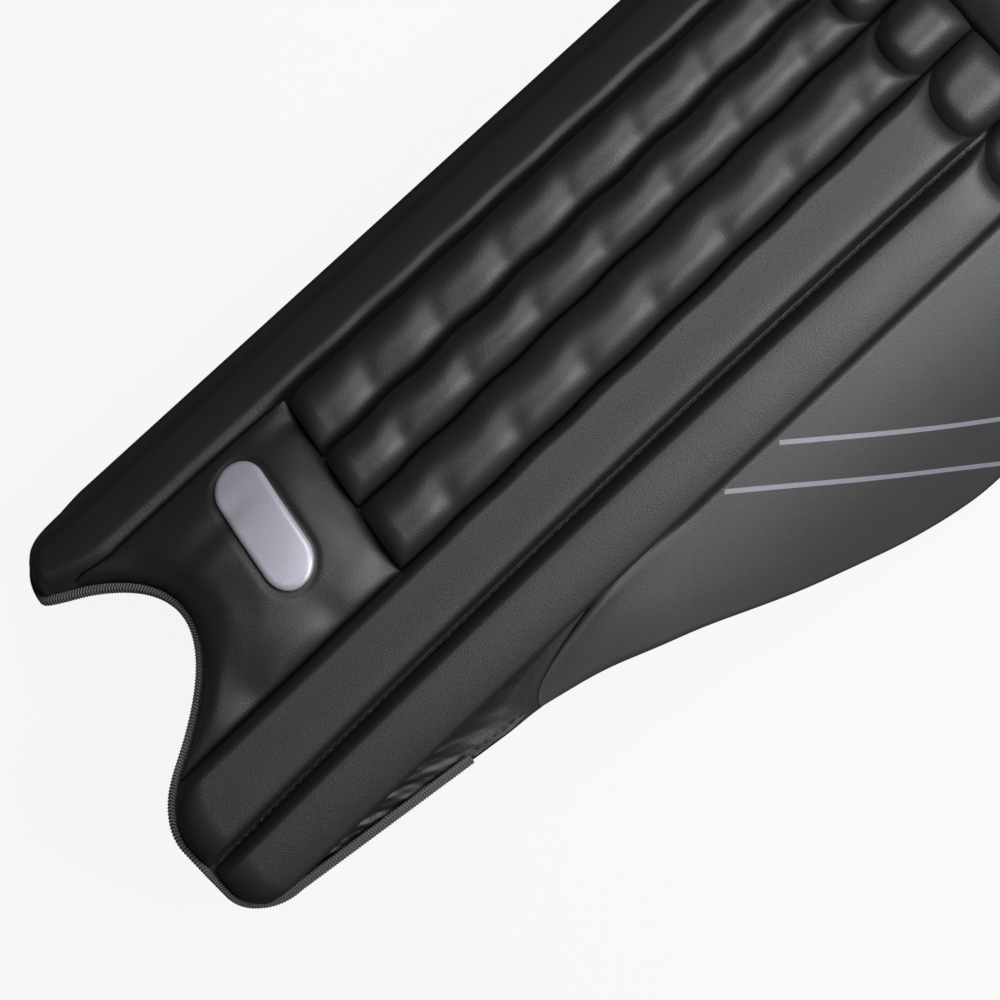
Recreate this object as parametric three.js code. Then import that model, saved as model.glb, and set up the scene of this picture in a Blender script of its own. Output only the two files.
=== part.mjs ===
// A leg guard for batting, lying on its back with the front up.
// Padded strips lie side by side over one curved backing. Knee bolsters and a flap follow above them,
// with a side wing and a gusset on the outer side, a bound hem, and three straps behind the leg.
// Millimetres. +Y runs up the leg, +Z out of the shin and +X towards the outer side.
import * as THREE from 'three';

const { lerp, clamp, degToRad, smoothstep } = THREE.MathUtils;

// Clearance between neighbours, and wall thicknesses
const GAP = 0.4;
const BACKING = 6;
const STRAP = 2.2;
const TAPE = 1.3;
const TAPE_REACH = 4;
const FOOT_CLEAR = TAPE_REACH + 1.2;

// Places along the leg, measured up from the lowest point of the hem
const INSTEP_SEAM = { inner: 143.5, outer: 133 };
const BAR_STRAIGHT = 80;
const LUMP_CREASE = 402;
const KNEE_SEAM = 434;
const BOLSTER = 42;
const BOLSTERS = 3;
const TOP_SEAM = KNEE_SEAM + BOLSTERS * BOLSTER;
const PAD_TOP = 710;
const TOP_CORNER = 46;

// The strips across the shin from the inner side to the outer one: flat width, tilt of the middle
// in degrees (positive faces the inner side) and padded height. Lean and bow belong to the strip's
// outer seam: how far it drifts inwards from the hem to the knee, and how far its ends bend outwards
const STRIPS = [
  { name: 'inner_bar', width: 41.4, tilt: 41, height: 12, lean: 0, bow: 0 },
  { name: 'roll_1', width: 26.9, tilt: 30, height: 15, lean: 7, bow: 0 },
  { name: 'roll_2', width: 24.4, tilt: 19, height: 15, lean: 8.5, bow: 0 },
  { name: 'roll_3', width: 28.4, tilt: 8, height: 15, lean: 9.5, bow: 0 },
  { name: 'bar_1', width: 28.3, tilt: -4, height: 13, lean: 9, bow: 4 },
  { name: 'bar_2', width: 30.7, tilt: -18, height: 11, lean: 8, bow: 0 },
];
const SEAMS = [0];
for (const strip of STRIPS) SEAMS.push(SEAMS.at(-1) + strip.width);
const FRONT_EDGE = 1;
const INSTEP_LEFT = SEAMS[1];
const CREST_SEAM = SEAMS[4];
const OUTER_SEAM = SEAMS.at(-1);
const DRIFTS = [
  { s: 0, lean: -2, bow: 0 },
  ...STRIPS.map(({ lean, bow }, i) => ({ s: SEAMS[i + 1], lean, bow })),
];

// The quilting dents across the three rolls: place of the first one and their spacing
const ROLL_DENTS = [
  { roll: 1, first: 173, pitch: 34.9 },
  { roll: 2, first: 167.8, pitch: 35 },
  { roll: 3, first: 165.1, pitch: 35.9 },
];
const DENTS = 7;
const DENT_DEPTH = 0.3;
const DENT_PINCH = 0.7;

// The wing's flat width out from the outer seam, row by row up the leg
const WING = [
  { y: 141, width: 23.8 },
  { y: 165, width: 30.5 },
  { y: 205, width: 47.5 },
  { y: 244, width: 69 },
  { y: 285, width: 88 },
  { y: 305, width: 95 },
  { y: 325, width: 99.5 },
  { y: 345, width: 98.5 },
  { y: 370, width: 92 },
  { y: 395, width: 80 },
  { y: 420, width: 60 },
  { y: 441, width: 34 },
  { y: 453, width: 14 },
];
const WING_PAD = 7;
const WING_WIDTH = 100;
const WING_SLANT = 16;

// The straps: place along the leg, width, and how far past the outer seam each one is sewn on
const STRAPS = [
  { name: 'ankle_strap', y: 92, width: 26, reach: 2 },
  { name: 'calf_strap', y: 268, width: 32, reach: 66 },
  { name: 'knee_strap', y: 384, width: 32, reach: 66 },
];
const STRAP_TAB = 24;

// How the backing bends along the leg: the height of its crest and how much of its curl is left
const STATIONS = [
  { y: 0, crest: 75, curl: 1 },
  { y: KNEE_SEAM, crest: 75, curl: 1 },
  { y: KNEE_SEAM + BOLSTER, crest: 74, curl: 0.97 },
  { y: KNEE_SEAM + 2 * BOLSTER, crest: 71, curl: 0.94 },
  { y: TOP_SEAM, crest: 66.5, curl: 0.9 },
  { y: PAD_TOP, crest: 48, curl: 0.8 },
];

// The tilt of the backing across the leg: upright at the inner flank, then strip by strip, then the wing
const FLANK_REACH = 60;
const FLANK_ROUND = 8;
const TILTS = [
  { s: -FLANK_REACH, tilt: 90 },
  { s: -FLANK_ROUND, tilt: 90 },
  { s: FRONT_EDGE, tilt: 47 },
  ...STRIPS.map((strip, i) => ({ s: SEAMS[i] + strip.width / 2, tilt: strip.tilt })),
  { s: OUTER_SEAM, tilt: -26 },
  { s: OUTER_SEAM + 6, tilt: -32 },
  { s: OUTER_SEAM + WING_WIDTH, tilt: -46 },
];

// Straight-line look-up of one column of a table by another
function lookUp(table, key, at, column) {
  let i = 1;
  while (i < table.length - 1 && table[i][key] < at) i += 1;
  const [a, b] = [table[i - 1], table[i]];
  const share = clamp((at - a[key]) / (b[key] - a[key]), 0, 1);
  return lerp(a[column], b[column], share);
}

// The curve of the backing across the leg, added up in short steps and measured from the crest seam
const SECTION_STEP = 0.5;
const sections = new Map();
function section(curl) {
  if (sections.has(curl)) return sections.get(curl);
  const rows = [];
  let x = 0;
  let z = 0;
  for (let s = -FLANK_REACH; s <= OUTER_SEAM + WING_WIDTH + 10; s += SECTION_STEP) {
    const tilt = degToRad(lookUp(TILTS, 's', s, 'tilt')) * (s < 0 ? 1 : curl);
    rows.push({ s, x, z, tilt });
    x += Math.cos(tilt) * SECTION_STEP;
    z += Math.sin(tilt) * SECTION_STEP;
  }
  const crest = { ...rows[Math.round((CREST_SEAM + FLANK_REACH) / SECTION_STEP)] };
  for (const row of rows) {
    row.x -= crest.x;
    row.z -= crest.z;
  }
  sections.set(curl, rows);
  return rows;
}

// The point at s across and y along the backing, raised by `height` out from it
function place(s, y, height) {
  const rows = section(lookUp(STATIONS, 'y', y, 'curl'));
  const up = Math.min(y / KNEE_SEAM, 1);
  const lean = lookUp(DRIFTS, 's', s, 'lean') * (0.5 - up);
  const bow = lookUp(DRIFTS, 's', s, 'bow') * (2 * up - 1) ** 2;
  const step = clamp((s + lean + bow + FLANK_REACH) / SECTION_STEP, 0, rows.length - 1.001);
  const [a, b] = [rows[Math.floor(step)], rows[Math.floor(step) + 1]];
  const share = step - Math.floor(step);
  const tilt = lerp(a.tilt, b.tilt, share);
  const x = lerp(a.x, b.x, share) - height * Math.sin(tilt);
  const z = lerp(a.z, b.z, share) + height * Math.cos(tilt);
  return new THREE.Vector3(x, y, z + lookUp(STATIONS, 'y', y, 'crest'));
}

// The hem in flat measures (s, y): inner lobe, arch over the instep, outer lobe, then up the outer side
const LOBE_CORNER = 22;
const INNER_LOBE = 20;
const OUTER_LOBE = 1.7;
const ARCH = { top: 59.6, middle: 73.3, drop: 0.0222, from: 37.5, to: 115.5 };
const SIDE_SLOPE = 0.143;
const SIDE_START = OUTER_SEAM + 7;
const SIDE_FOOT = OUTER_LOBE + LOBE_CORNER;
const TAPE_START = 24;
const TAPE_END = 103.5;
const archY = (s) => ARCH.top - ARCH.drop * (s - ARCH.middle) ** 2;
const archSlope = (s) => -2 * ARCH.drop * (s - ARCH.middle);

const hem = new THREE.Path();
hem.moveTo(0, INNER_LOBE + LOBE_CORNER);
hem.absarc(LOBE_CORNER, INNER_LOBE + LOBE_CORNER, LOBE_CORNER, Math.PI, 1.5 * Math.PI, false);
hem.lineTo(LOBE_CORNER + 7, INNER_LOBE);
hem.quadraticCurveTo(
  ARCH.from - (archY(ARCH.from) - INNER_LOBE) / archSlope(ARCH.from), INNER_LOBE,
  ARCH.from, archY(ARCH.from),
);
hem.quadraticCurveTo(
  (ARCH.from + ARCH.to) / 2, ARCH.top - ARCH.drop * (ARCH.from - ARCH.middle) * (ARCH.to - ARCH.middle),
  ARCH.to, archY(ARCH.to),
);
hem.quadraticCurveTo(
  ARCH.to - (archY(ARCH.to) - OUTER_LOBE) / archSlope(ARCH.to), OUTER_LOBE,
  ARCH.to + 24, OUTER_LOBE,
);
hem.lineTo(SIDE_START - LOBE_CORNER, OUTER_LOBE);
hem.absarc(SIDE_START - LOBE_CORNER, OUTER_LOBE + LOBE_CORNER, LOBE_CORNER, -0.5 * Math.PI, 0, false);
hem.lineTo(SIDE_START + SIDE_SLOPE * (TAPE_END - SIDE_FOOT), TAPE_END);
const hemPoints = hem.getPoints(16).map((point) => ({ s: point.x, y: point.y }));

// Lower edge of the pad at s, the same moved in by a clear distance, and the outer side's edge at y
const hemY = (s) => lookUp(hemPoints, 's', s, 'y');
function hemInside(s, clear) {
  const slope = (hemY(s + 1) - hemY(s - 1)) / 2;
  return hemY(s) + clear * Math.hypot(1, slope);
}
function sideEdge(y) {
  if (y > SIDE_FOOT) return SIDE_START + SIDE_SLOPE * (y - SIDE_FOOT);
  return SIDE_START - LOBE_CORNER + Math.sqrt(LOBE_CORNER ** 2 - (SIDE_FOOT - y) ** 2);
}

// Spacings for the grids: even, and crowded towards both ends
const even = (count) => Array.from({ length: count + 1 }, (_, i) => i / count);
const crowded = (count) => even(count).map((t) => 0.5 - 0.5 * Math.cos(Math.PI * t));

// Padded cross profile from 0 to 1 and back to 0: a low power is round, a high one flat-topped
const crown = (t, power) => (1 - Math.abs(2 * t - 1) ** power) ** (1 / 2.2);

// A closed padded panel: a grid over the backing with an upper and a lower skin, and walls round the rim
function paddedPanel(columns, rows, spot) {
  const positions = [];
  for (const skin of ['high', 'low']) {
    for (const p of columns) {
      for (const q of rows) {
        const at = spot(p, q);
        positions.push(...place(at.s, at.y, at[skin]).toArray());
      }
    }
  }
  const across = columns.length - 1;
  const along = rows.length - 1;
  const low = columns.length * rows.length;
  const node = (i, j) => i * rows.length + j;
  const index = [];
  for (let i = 0; i < across; i += 1) {
    for (let j = 0; j < along; j += 1) {
      const [a, b, c, d] = [node(i, j), node(i + 1, j), node(i + 1, j + 1), node(i, j + 1)];
      index.push(a, b, c, a, c, d);
      index.push(low + a, low + c, low + b, low + a, low + d, low + c);
    }
  }
  const rim = [];
  for (let i = 0; i < across; i += 1) rim.push(node(i, 0));
  for (let j = 0; j < along; j += 1) rim.push(node(across, j));
  for (let i = across; i > 0; i -= 1) rim.push(node(i, along));
  for (let j = along; j > 0; j -= 1) rim.push(node(0, j));
  rim.forEach((a, k) => {
    const b = rim[(k + 1) % rim.length];
    index.push(a, low + a, low + b, a, low + b, b);
  });
  return meshGeometry(positions, index);
}

function meshGeometry(positions, index) {
  const geometry = new THREE.BufferGeometry();
  geometry.setAttribute('position', new THREE.Float32BufferAttribute(positions, 3));
  geometry.setIndex(index);
  geometry.computeVertexNormals();
  return geometry;
}

// Finishes
const leather = new THREE.MeshStandardMaterial({ color: 0x262628, roughness: 0.5 });
const softLeather = new THREE.MeshStandardMaterial({ color: 0x2e2e31, roughness: 0.45 });
const lining = new THREE.MeshStandardMaterial({ color: 0x1d1d1f, roughness: 0.9 });
const webbing = new THREE.MeshStandardMaterial({ color: 0x18181a, roughness: 0.95 });
const silver = new THREE.MeshStandardMaterial({ color: 0xb4b4bc, roughness: 0.4, metalness: 0.3 });

const pad = new THREE.Group();
pad.name = 'batting_pad';
function add(name, geometry, material) {
  const piece = new THREE.Mesh(geometry, material);
  piece.name = name;
  pad.add(piece);
}

// Backing: the curved shell that all else is sewn to, with a flank that stands on the floor
const FLANK_COLUMNS = [{ flank: 1 }, { flank: 0.32 }, { flank: 0.15 }];
const backingColumns = [...FLANK_COLUMNS];
for (const s of [0, FRONT_EDGE, 4, 9, 15, LOBE_CORNER]) backingColumns.push({ s });
for (let s = LOBE_CORNER + 7; s < SEAMS[5]; s += 6) backingColumns.push({ s });
for (const s of [SEAMS[5], SEAMS[5] + 13, OUTER_SEAM - 7, OUTER_SEAM]) backingColumns.push({ s });
const HEM_ZONE = 112;
const TOP_ZONE = PAD_TOP - TOP_CORNER;
const backingRows = [
  ...[0, 0.12, 0.35, 0.65].map((hemShare) => ({ hemShare })),
  ...[HEM_ZONE, 190, 290, KNEE_SEAM].map((y) => ({ y })),
  ...even(BOLSTERS).slice(1).map((t) => ({ y: lerp(KNEE_SEAM, TOP_SEAM, t) })),
  ...[0, 0.4, 0.75, 1].map((topShare) => ({ topShare })),
];
function topEdge(s) {
  const fromSide = Math.min(s - FRONT_EDGE, OUTER_SEAM - s);
  const into = clamp(TOP_CORNER - fromSide, 0, TOP_CORNER);
  return PAD_TOP - TOP_CORNER + Math.sqrt(TOP_CORNER ** 2 - into ** 2);
}
function flankDepth(y) {
  const standing = FLANK_ROUND + place(-FLANK_ROUND, y, 0).z;
  return lerp(2, standing, smoothstep(y, 38, 92) * (1 - smoothstep(y, TOP_SEAM, TOP_ZONE)));
}
function backingSpot(column, row) {
  const front = Math.max(column.s ?? 0, 0);
  let y = row.y;
  if (row.hemShare !== undefined) y = lerp(hemY(front), HEM_ZONE, row.hemShare);
  if (row.topShare !== undefined) y = lerp(TOP_ZONE, topEdge(front), row.topShare);
  const s = column.s ?? -column.flank * flankDepth(y);
  return { s, y, low: -BACKING, high: 0 };
}
add('backing', paddedPanel(backingColumns, backingRows, backingSpot), lining);

// Head lumps: the fat rounded upper end of every roll and bar
const lumpRows = [0, 0.15, 0.5, 0.85, 1].map((t) => ({
  y: lerp(LUMP_CREASE, KNEE_SEAM - GAP, t),
  swell: 0.5 + 0.65 * (1 - Math.abs(2 * t - 1) ** 3),
}));

// Rolls: round strips with quilting dents, from the slanted instep seam up to the knee seam
const instepSeamY = (s) => lerp(
  INSTEP_SEAM.inner, INSTEP_SEAM.outer, (s - INSTEP_LEFT) / (CREST_SEAM - INSTEP_LEFT),
);
for (const { roll, first, pitch } of ROLL_DENTS) {
  const strip = STRIPS[roll];
  const from = SEAMS[roll] + GAP / 2;
  const to = SEAMS[roll + 1] - GAP / 2;
  const foot = instepSeamY((from + to) / 2) + GAP;
  const ends = [foot];
  for (let k = 0; k < DENTS; k += 1) ends.push(first + k * pitch);
  ends.push(LUMP_CREASE);
  const rows = [];
  for (let k = 0; k + 1 < ends.length; k += 1) {
    for (const t of [0, 0.18, 0.5, 0.82]) {
      const dent = Math.abs(2 * t - 1) ** 4;
      const slant = k === 0 ? 1 - t : 0;
      rows.push({ y: lerp(ends[k], ends[k + 1], t), swell: 1 - DENT_DEPTH * dent, slant });
    }
  }
  rows.push(...lumpRows);
  const spot = (p, row) => {
    const pinch = DENT_PINCH * Math.max(1 - row.swell, 0) / DENT_DEPTH;
    const s = lerp(from + pinch, to - pinch, p);
    const y = row.y + (row.slant ?? 0) * (instepSeamY(s) + GAP - foot);
    return { s, y, low: GAP, high: 2 + (strip.height - 2) * crown(p, 2.4) * row.swell };
  };
  add(strip.name, paddedPanel(crowded(6), rows, spot), leather);
}

// Bars: flat-topped strips from the hem up to the knee seam; the inner one slopes off at its outer side
const BEVEL = { foot: 1, slope: 0.62 };
const barRows = [
  { t: 0, swell: 0.1 },
  { t: 0.05, swell: 0.65 },
  { t: 0.16, swell: 0.95 },
  { t: 1, swell: 1 },
  { y: LUMP_CREASE - 8, swell: 1 },
  ...lumpRows,
];
const bars = [
  { strip: 0, columns: [0, 0.14, 0.41, 0.62, 0.86, 0.96, 1] },
  { strip: 4, columns: crowded(6) },
  { strip: 5, columns: crowded(6) },
];
for (const { strip, columns } of bars) {
  const { name, height } = STRIPS[strip];
  const from = strip === 0 ? FRONT_EDGE : SEAMS[strip] + GAP / 2;
  const to = SEAMS[strip + 1] - GAP / 2;
  const spot = (p, row) => {
    const s = lerp(from, to, p);
    const foot = strip === 0 ? hemY(s) + TAPE_REACH + 4 : hemInside(s, FOOT_CLEAR);
    const y = row.y ?? lerp(foot, BAR_STRAIGHT, row.t);
    const flat = 2 + (height - 2) * crown(p, 7) * row.swell;
    const bevel = BEVEL.foot + BEVEL.slope * (s - from) * Math.min(row.swell, 1);
    return { s, y, low: GAP, high: strip === 0 ? Math.min(bevel + GAP, Math.max(flat, 2)) : flat };
  };
  add(name, paddedPanel(columns, barRows, spot), leather);
}

// Instep panel: a soft cushion between the arch and the rolls, with puckers at its upper corners
const INSTEP_HEIGHT = 11;
const PUCKERS = [
  { s: 54, y: 142, depth: 3, spread: 5 },
  { s: 113, y: 132, depth: 3.5, spread: 6 },
];
function instepHeight(s, y) {
  const across = (s - INSTEP_LEFT) / (CREST_SEAM - INSTEP_LEFT);
  const foot = hemInside(s, FOOT_CLEAR);
  const along = (y - foot) / (instepSeamY(s) - foot);
  let height = 2 + INSTEP_HEIGHT * crown(clamp(across, 0, 1), 3) * crown(clamp(along, 0, 1), 2.6);
  for (const pucker of PUCKERS) {
    const away = ((s - pucker.s) / pucker.spread) ** 2 + ((y - pucker.y) / (3 * pucker.spread)) ** 2;
    height -= pucker.depth * Math.exp(-away);
  }
  return Math.max(height, 1.8);
}
function instepSpot(p, q) {
  const s = lerp(INSTEP_LEFT + GAP / 2, CREST_SEAM - GAP / 2, p);
  const y = lerp(hemInside(s, FOOT_CLEAR), instepSeamY(s) - GAP, q);
  return { s, y, low: GAP, high: instepHeight(s, y) };
}
const instepColumns = [0, 0.03, ...even(12).slice(1, -1), 0.97, 1];
add('instep_panel', paddedPanel(instepColumns, crowded(8), instepSpot), softLeather);

// Badge: a plain pill-shaped plate lying on the instep panel
const BADGE = { s: 75, y: 106, long: 52, wide: 22, thick: 1.6 };
function badgeSpot(p, q) {
  const off = (p - 0.5) * (BADGE.long - 1);
  const round = BADGE.wide / 2;
  const past = Math.max(Math.abs(off) - (BADGE.long / 2 - round), 0);
  const half = Math.sqrt(round ** 2 - past ** 2);
  const s = BADGE.s + off;
  const y = BADGE.y + instepSeamY(s) - instepSeamY(BADGE.s) + (2 * q - 1) * half;
  const low = instepHeight(s, y) + GAP;
  return { s, y, low, high: low + BADGE.thick };
}
add('instep_badge', paddedPanel(crowded(12), even(3), badgeSpot), silver);

// Knee bolsters: round cushions lying across the whole front
const BOLSTER_HEIGHT = 17;
const frontColumns = [FRONT_EDGE, FRONT_EDGE + 3];
for (let s = FRONT_EDGE + 12; s < OUTER_SEAM - 8; s += 13) frontColumns.push(s);
frontColumns.push(OUTER_SEAM - 4, OUTER_SEAM - GAP);
for (let k = 0; k < BOLSTERS; k += 1) {
  const from = KNEE_SEAM + k * BOLSTER + GAP / 2;
  const spot = (s, q) => {
    const across = (s - FRONT_EDGE) / (OUTER_SEAM - GAP - FRONT_EDGE);
    const high = 2 + (BOLSTER_HEIGHT - 2) * crown(across, 12) * crown(q, 2.4);
    return { s, y: lerp(from, from + BOLSTER - GAP, q), low: GAP, high };
  };
  add(`knee_bolster_${k + 1}`, paddedPanel(frontColumns, crowded(6), spot), leather);
}

// Top panel: a flap with rounded upper corners and shallow upright flutes
const TOP_HEIGHT = 10;
const FLUTES = 3;
function topSpot(p, q) {
  const s = lerp(FRONT_EDGE, OUTER_SEAM - GAP, p);
  const y = lerp(TOP_SEAM + GAP / 2, topEdge(s) - 1, q);
  const flute = 0.65 + 0.35 * crown((p * FLUTES) % 1, 3);
  return { s, y, low: GAP, high: 2 + (TOP_HEIGHT - 2) * flute * crown(p, 10) * crown(q, 6) };
}
const topColumns = [];
for (const start of even(FLUTES).slice(0, -1)) {
  for (const t of [0, 0.1, 0.3, 0.5, 0.7, 0.9]) topColumns.push(start + t / FLUTES);
}
topColumns.push(1);
const topRows = [0, 0.05, 0.15, 0.4, 0.65, 0.85, 0.95, 1];
add('top_panel', paddedPanel(topColumns, topRows, topSpot), leather);

// Calf wing: a padded side flap, thinner at its free edge, with a slanted lower end
function wingSpot(p, row) {
  const s = OUTER_SEAM + lerp(GAP, row.width, p);
  const y = row.y + (1 - p) * WING_SLANT * (1 - smoothstep(row.y, WING[0].y, WING[0].y + 50));
  const lengthwise = crown((row.y - WING[0].y) / (WING.at(-1).y - WING[0].y), 12);
  return {
    s, y,
    low: -BACKING + 3 * p ** 4,
    high: -1 + (WING_PAD + 1) * crown(p, 8) * lengthwise,
  };
}
add('calf_wing', paddedPanel([0, 0.03, 0.1, 0.25, 0.45, 0.65, 0.85, 0.95, 1], WING, wingSpot), softLeather);

// Side gusset: a sliver of gathered leather from the outer lobe up to the wing
const WRINKLE = { pitch: 17, lean: 0.7, depth: 1.5 };
function gussetSpot(p, q) {
  const level = lerp(OUTER_LOBE + 5, WING[0].y - GAP, q);
  const s = lerp(OUTER_SEAM + GAP, sideEdge(level), p);
  const y = level + (1 - p) * WING_SLANT * smoothstep(level, 90, WING[0].y);
  const fold = Math.sin(2 * Math.PI * (y + WRINKLE.lean * (s - OUTER_SEAM)) / WRINKLE.pitch);
  const high = -WRINKLE.depth * (0.5 + 0.5 * fold) * crown(p, 4);
  return { s, y, low: -BACKING, high };
}
add('side_gusset', paddedPanel([0, 0.25, 0.5, 0.75, 1], even(30), gussetSpot), softLeather);

// Hem binding: tape folded over the edge, its open side facing in, swept along the hem
const tapeIn = { low: -BACKING - GAP, high: GAP };
const TAPE_SECTION = [
  { into: TAPE_REACH, height: tapeIn.high },
  { into: -GAP, height: tapeIn.high },
  { into: -GAP, height: tapeIn.low },
  { into: TAPE_REACH, height: tapeIn.low },
  { into: TAPE_REACH, height: tapeIn.low - TAPE },
  { into: -GAP, height: tapeIn.low - TAPE },
  { into: -GAP - TAPE, height: -BACKING / 2 - 2 },
  { into: -GAP - TAPE, height: -BACKING / 2 + 2 },
  { into: -GAP, height: tapeIn.high + TAPE },
  { into: TAPE_REACH, height: tapeIn.high + TAPE },
];
function hemTape(steps) {
  const length = hem.getLength();
  const start = hem.getSpacedPoints(400).findIndex((point) => point.x > TAPE_START) / 400;
  const positions = [];
  for (let i = 0; i <= steps; i += 1) {
    const t = lerp(start, 1, i / steps);
    const point = hem.getPointAt(t);
    const ahead = hem.getPointAt(Math.min(t + 1.5 / length, 1));
    const behind = hem.getPointAt(Math.max(t - 1.5 / length, 0));
    const run = ahead.sub(behind).normalize();
    for (const { into, height } of TAPE_SECTION) {
      positions.push(...place(point.x - run.y * into, point.y + run.x * into, height).toArray());
    }
  }
  const ring = TAPE_SECTION.length;
  const index = [];
  for (let i = 0; i < steps; i += 1) {
    for (let k = 0; k < ring; k += 1) {
      const [a, b] = [i * ring + k, i * ring + (k + 1) % ring];
      index.push(a, b + ring, b, a, a + ring, b + ring);
    }
  }
  const outline = TAPE_SECTION.map(({ into, height }) => new THREE.Vector2(into, height));
  for (const [a, b, c] of THREE.ShapeUtils.triangulateShape(outline, [])) {
    index.push(a, c, b);
    index.push(steps * ring + a, steps * ring + b, steps * ring + c);
  }
  return meshGeometry(positions, index);
}
add('hem_binding', hemTape(56), webbing);

// Straps: sewn inside the flank, along the floor behind the leg, and up inside the wing or the backing
for (const { name, y, width, reach } of STRAPS) {
  const clear = -BACKING - GAP - STRAP / 2;
  const inside = (s) => {
    const point = place(s, y, clear);
    return new THREE.Vector2(point.x, point.z);
  };
  const turn = 5;
  const floor = STRAP / 2;
  const left = inside(-FLANK_ROUND);
  const right = inside(OUTER_SEAM + reach);
  const slope = right.clone().sub(inside(OUTER_SEAM + reach - 2)).normalize();
  const swing = Math.max(right.y * 0.6, 8);
  const line = new THREE.Path();
  line.moveTo(left.x, left.y);
  line.lineTo(left.x, floor + turn);
  line.absarc(left.x + turn, floor + turn, turn, Math.PI, 1.5 * Math.PI, false);
  line.lineTo(right.x - turn, floor);
  line.bezierCurveTo(
    right.x - turn + swing, floor,
    right.x + slope.x * swing * 0.5, right.y + slope.y * swing * 0.5,
    right.x, right.y,
  );
  for (let back = 6; back <= STRAP_TAB; back += 6) {
    const point = inside(OUTER_SEAM + reach - back);
    line.lineTo(point.x, point.y);
  }
  const middle = line.getPoints(8);
  const edge = (side) => middle.map((point, i) => {
    const ahead = middle[Math.min(i + 1, middle.length - 1)];
    const run = ahead.clone().sub(middle[Math.max(i - 1, 0)]).normalize();
    return new THREE.Vector2(point.x - run.y * side * STRAP / 2, point.y + run.x * side * STRAP / 2);
  });
  const ribbon = new THREE.Shape([...edge(1), ...edge(-1).reverse()]);
  const geometry = new THREE.ExtrudeGeometry(ribbon, { depth: width, bevelEnabled: false });
  geometry.rotateX(Math.PI / 2);
  geometry.translate(0, y + width / 2, 0);
  add(name, geometry, webbing);
}

// The origin lies under the middle of the pad, on the floor
const box = new THREE.Box3().setFromObject(pad);
const middle = box.getCenter(new THREE.Vector3());
pad.position.set(-middle.x, -middle.y, -box.min.z);
pad.updateMatrixWorld(true);

export default pad;
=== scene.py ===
# %% [markdown]
# A batting pad, dressed around its solids.
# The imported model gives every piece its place. This lesson covers each solid with a soft leather,
# webbing or lining piece that lies in the same space, and then lights it and looks down on it.

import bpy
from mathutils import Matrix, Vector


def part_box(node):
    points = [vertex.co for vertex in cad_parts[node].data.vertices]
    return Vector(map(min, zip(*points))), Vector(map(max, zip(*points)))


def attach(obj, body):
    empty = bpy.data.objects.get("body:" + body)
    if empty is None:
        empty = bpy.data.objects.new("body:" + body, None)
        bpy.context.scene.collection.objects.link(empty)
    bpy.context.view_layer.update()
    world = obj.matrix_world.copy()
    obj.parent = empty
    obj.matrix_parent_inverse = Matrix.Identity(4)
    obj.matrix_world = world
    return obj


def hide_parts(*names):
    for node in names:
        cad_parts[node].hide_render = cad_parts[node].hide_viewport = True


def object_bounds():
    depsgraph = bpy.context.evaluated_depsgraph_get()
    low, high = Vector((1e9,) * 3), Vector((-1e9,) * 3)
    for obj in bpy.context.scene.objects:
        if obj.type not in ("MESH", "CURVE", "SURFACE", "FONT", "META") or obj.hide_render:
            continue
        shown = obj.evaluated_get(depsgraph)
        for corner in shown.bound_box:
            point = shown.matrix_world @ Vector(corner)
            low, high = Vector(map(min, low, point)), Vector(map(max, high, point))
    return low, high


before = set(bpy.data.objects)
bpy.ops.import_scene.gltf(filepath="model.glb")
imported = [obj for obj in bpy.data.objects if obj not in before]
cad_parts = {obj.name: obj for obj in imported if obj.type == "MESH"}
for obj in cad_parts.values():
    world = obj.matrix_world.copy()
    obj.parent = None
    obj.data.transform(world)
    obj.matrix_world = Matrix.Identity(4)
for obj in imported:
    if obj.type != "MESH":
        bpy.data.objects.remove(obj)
cad_box = [list(corner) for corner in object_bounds()]

import math
from collections import namedtuple

import bpy
import numpy as np
from mathutils import Vector

print("solids:", len(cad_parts), "box in metres:", cad_box)

# %% [markdown]
# The pad is sewn flat and then bent over the leg, so it is easiest to describe flat.
# A spot is given by s, the way across in millimetres from the inner edge, and y, the way up from the hem.
# The sizes follow those of the solids, so that every cover lies where its solid is.

# %% Sizes in millimetres
MM = 0.001
GAP = 0.4
BACKING = 6.0
STRAP = 2.2
INSTEP_SEAM = {"inner": 143.5, "outer": 133.0}
LUMP_CREASE = 402.0
KNEE_SEAM = 434.0
BOLSTER = 42.0
BOLSTERS = 3
TOP_SEAM = KNEE_SEAM + BOLSTERS * BOLSTER
PAD_TOP = 710.0
TOP_CORNER = 46.0
FRONT_EDGE = 1.0

# tilt is in degrees. lean is how far a strip's outer seam drifts inwards from the hem to the knee,
# and bow is how far the ends of that seam bend outwards.
Strip = namedtuple("Strip", "name width tilt height lean bow")
STRIPS = [
    Strip("inner_bar", 41.4, 41, 12, 0, 0),
    Strip("roll_1", 26.9, 30, 15, 7, 0),
    Strip("roll_2", 24.4, 19, 15, 8.5, 0),
    Strip("roll_3", 28.4, 8, 15, 9.5, 0),
    Strip("bar_1", 28.3, -4, 13, 9, 4),
    Strip("bar_2", 30.7, -18, 11, 8, 0),
]
SEAMS = np.concatenate([[0.0], np.cumsum([strip.width for strip in STRIPS])])
INSTEP_LEFT, CREST_SEAM, OUTER_SEAM = SEAMS[[1, 4, 6]]
INNER_EDGE_LEAN = -2.0
LEANS = [INNER_EDGE_LEAN, *(strip.lean for strip in STRIPS)]
BOWS = [0.0, *(strip.bow for strip in STRIPS)]

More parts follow.
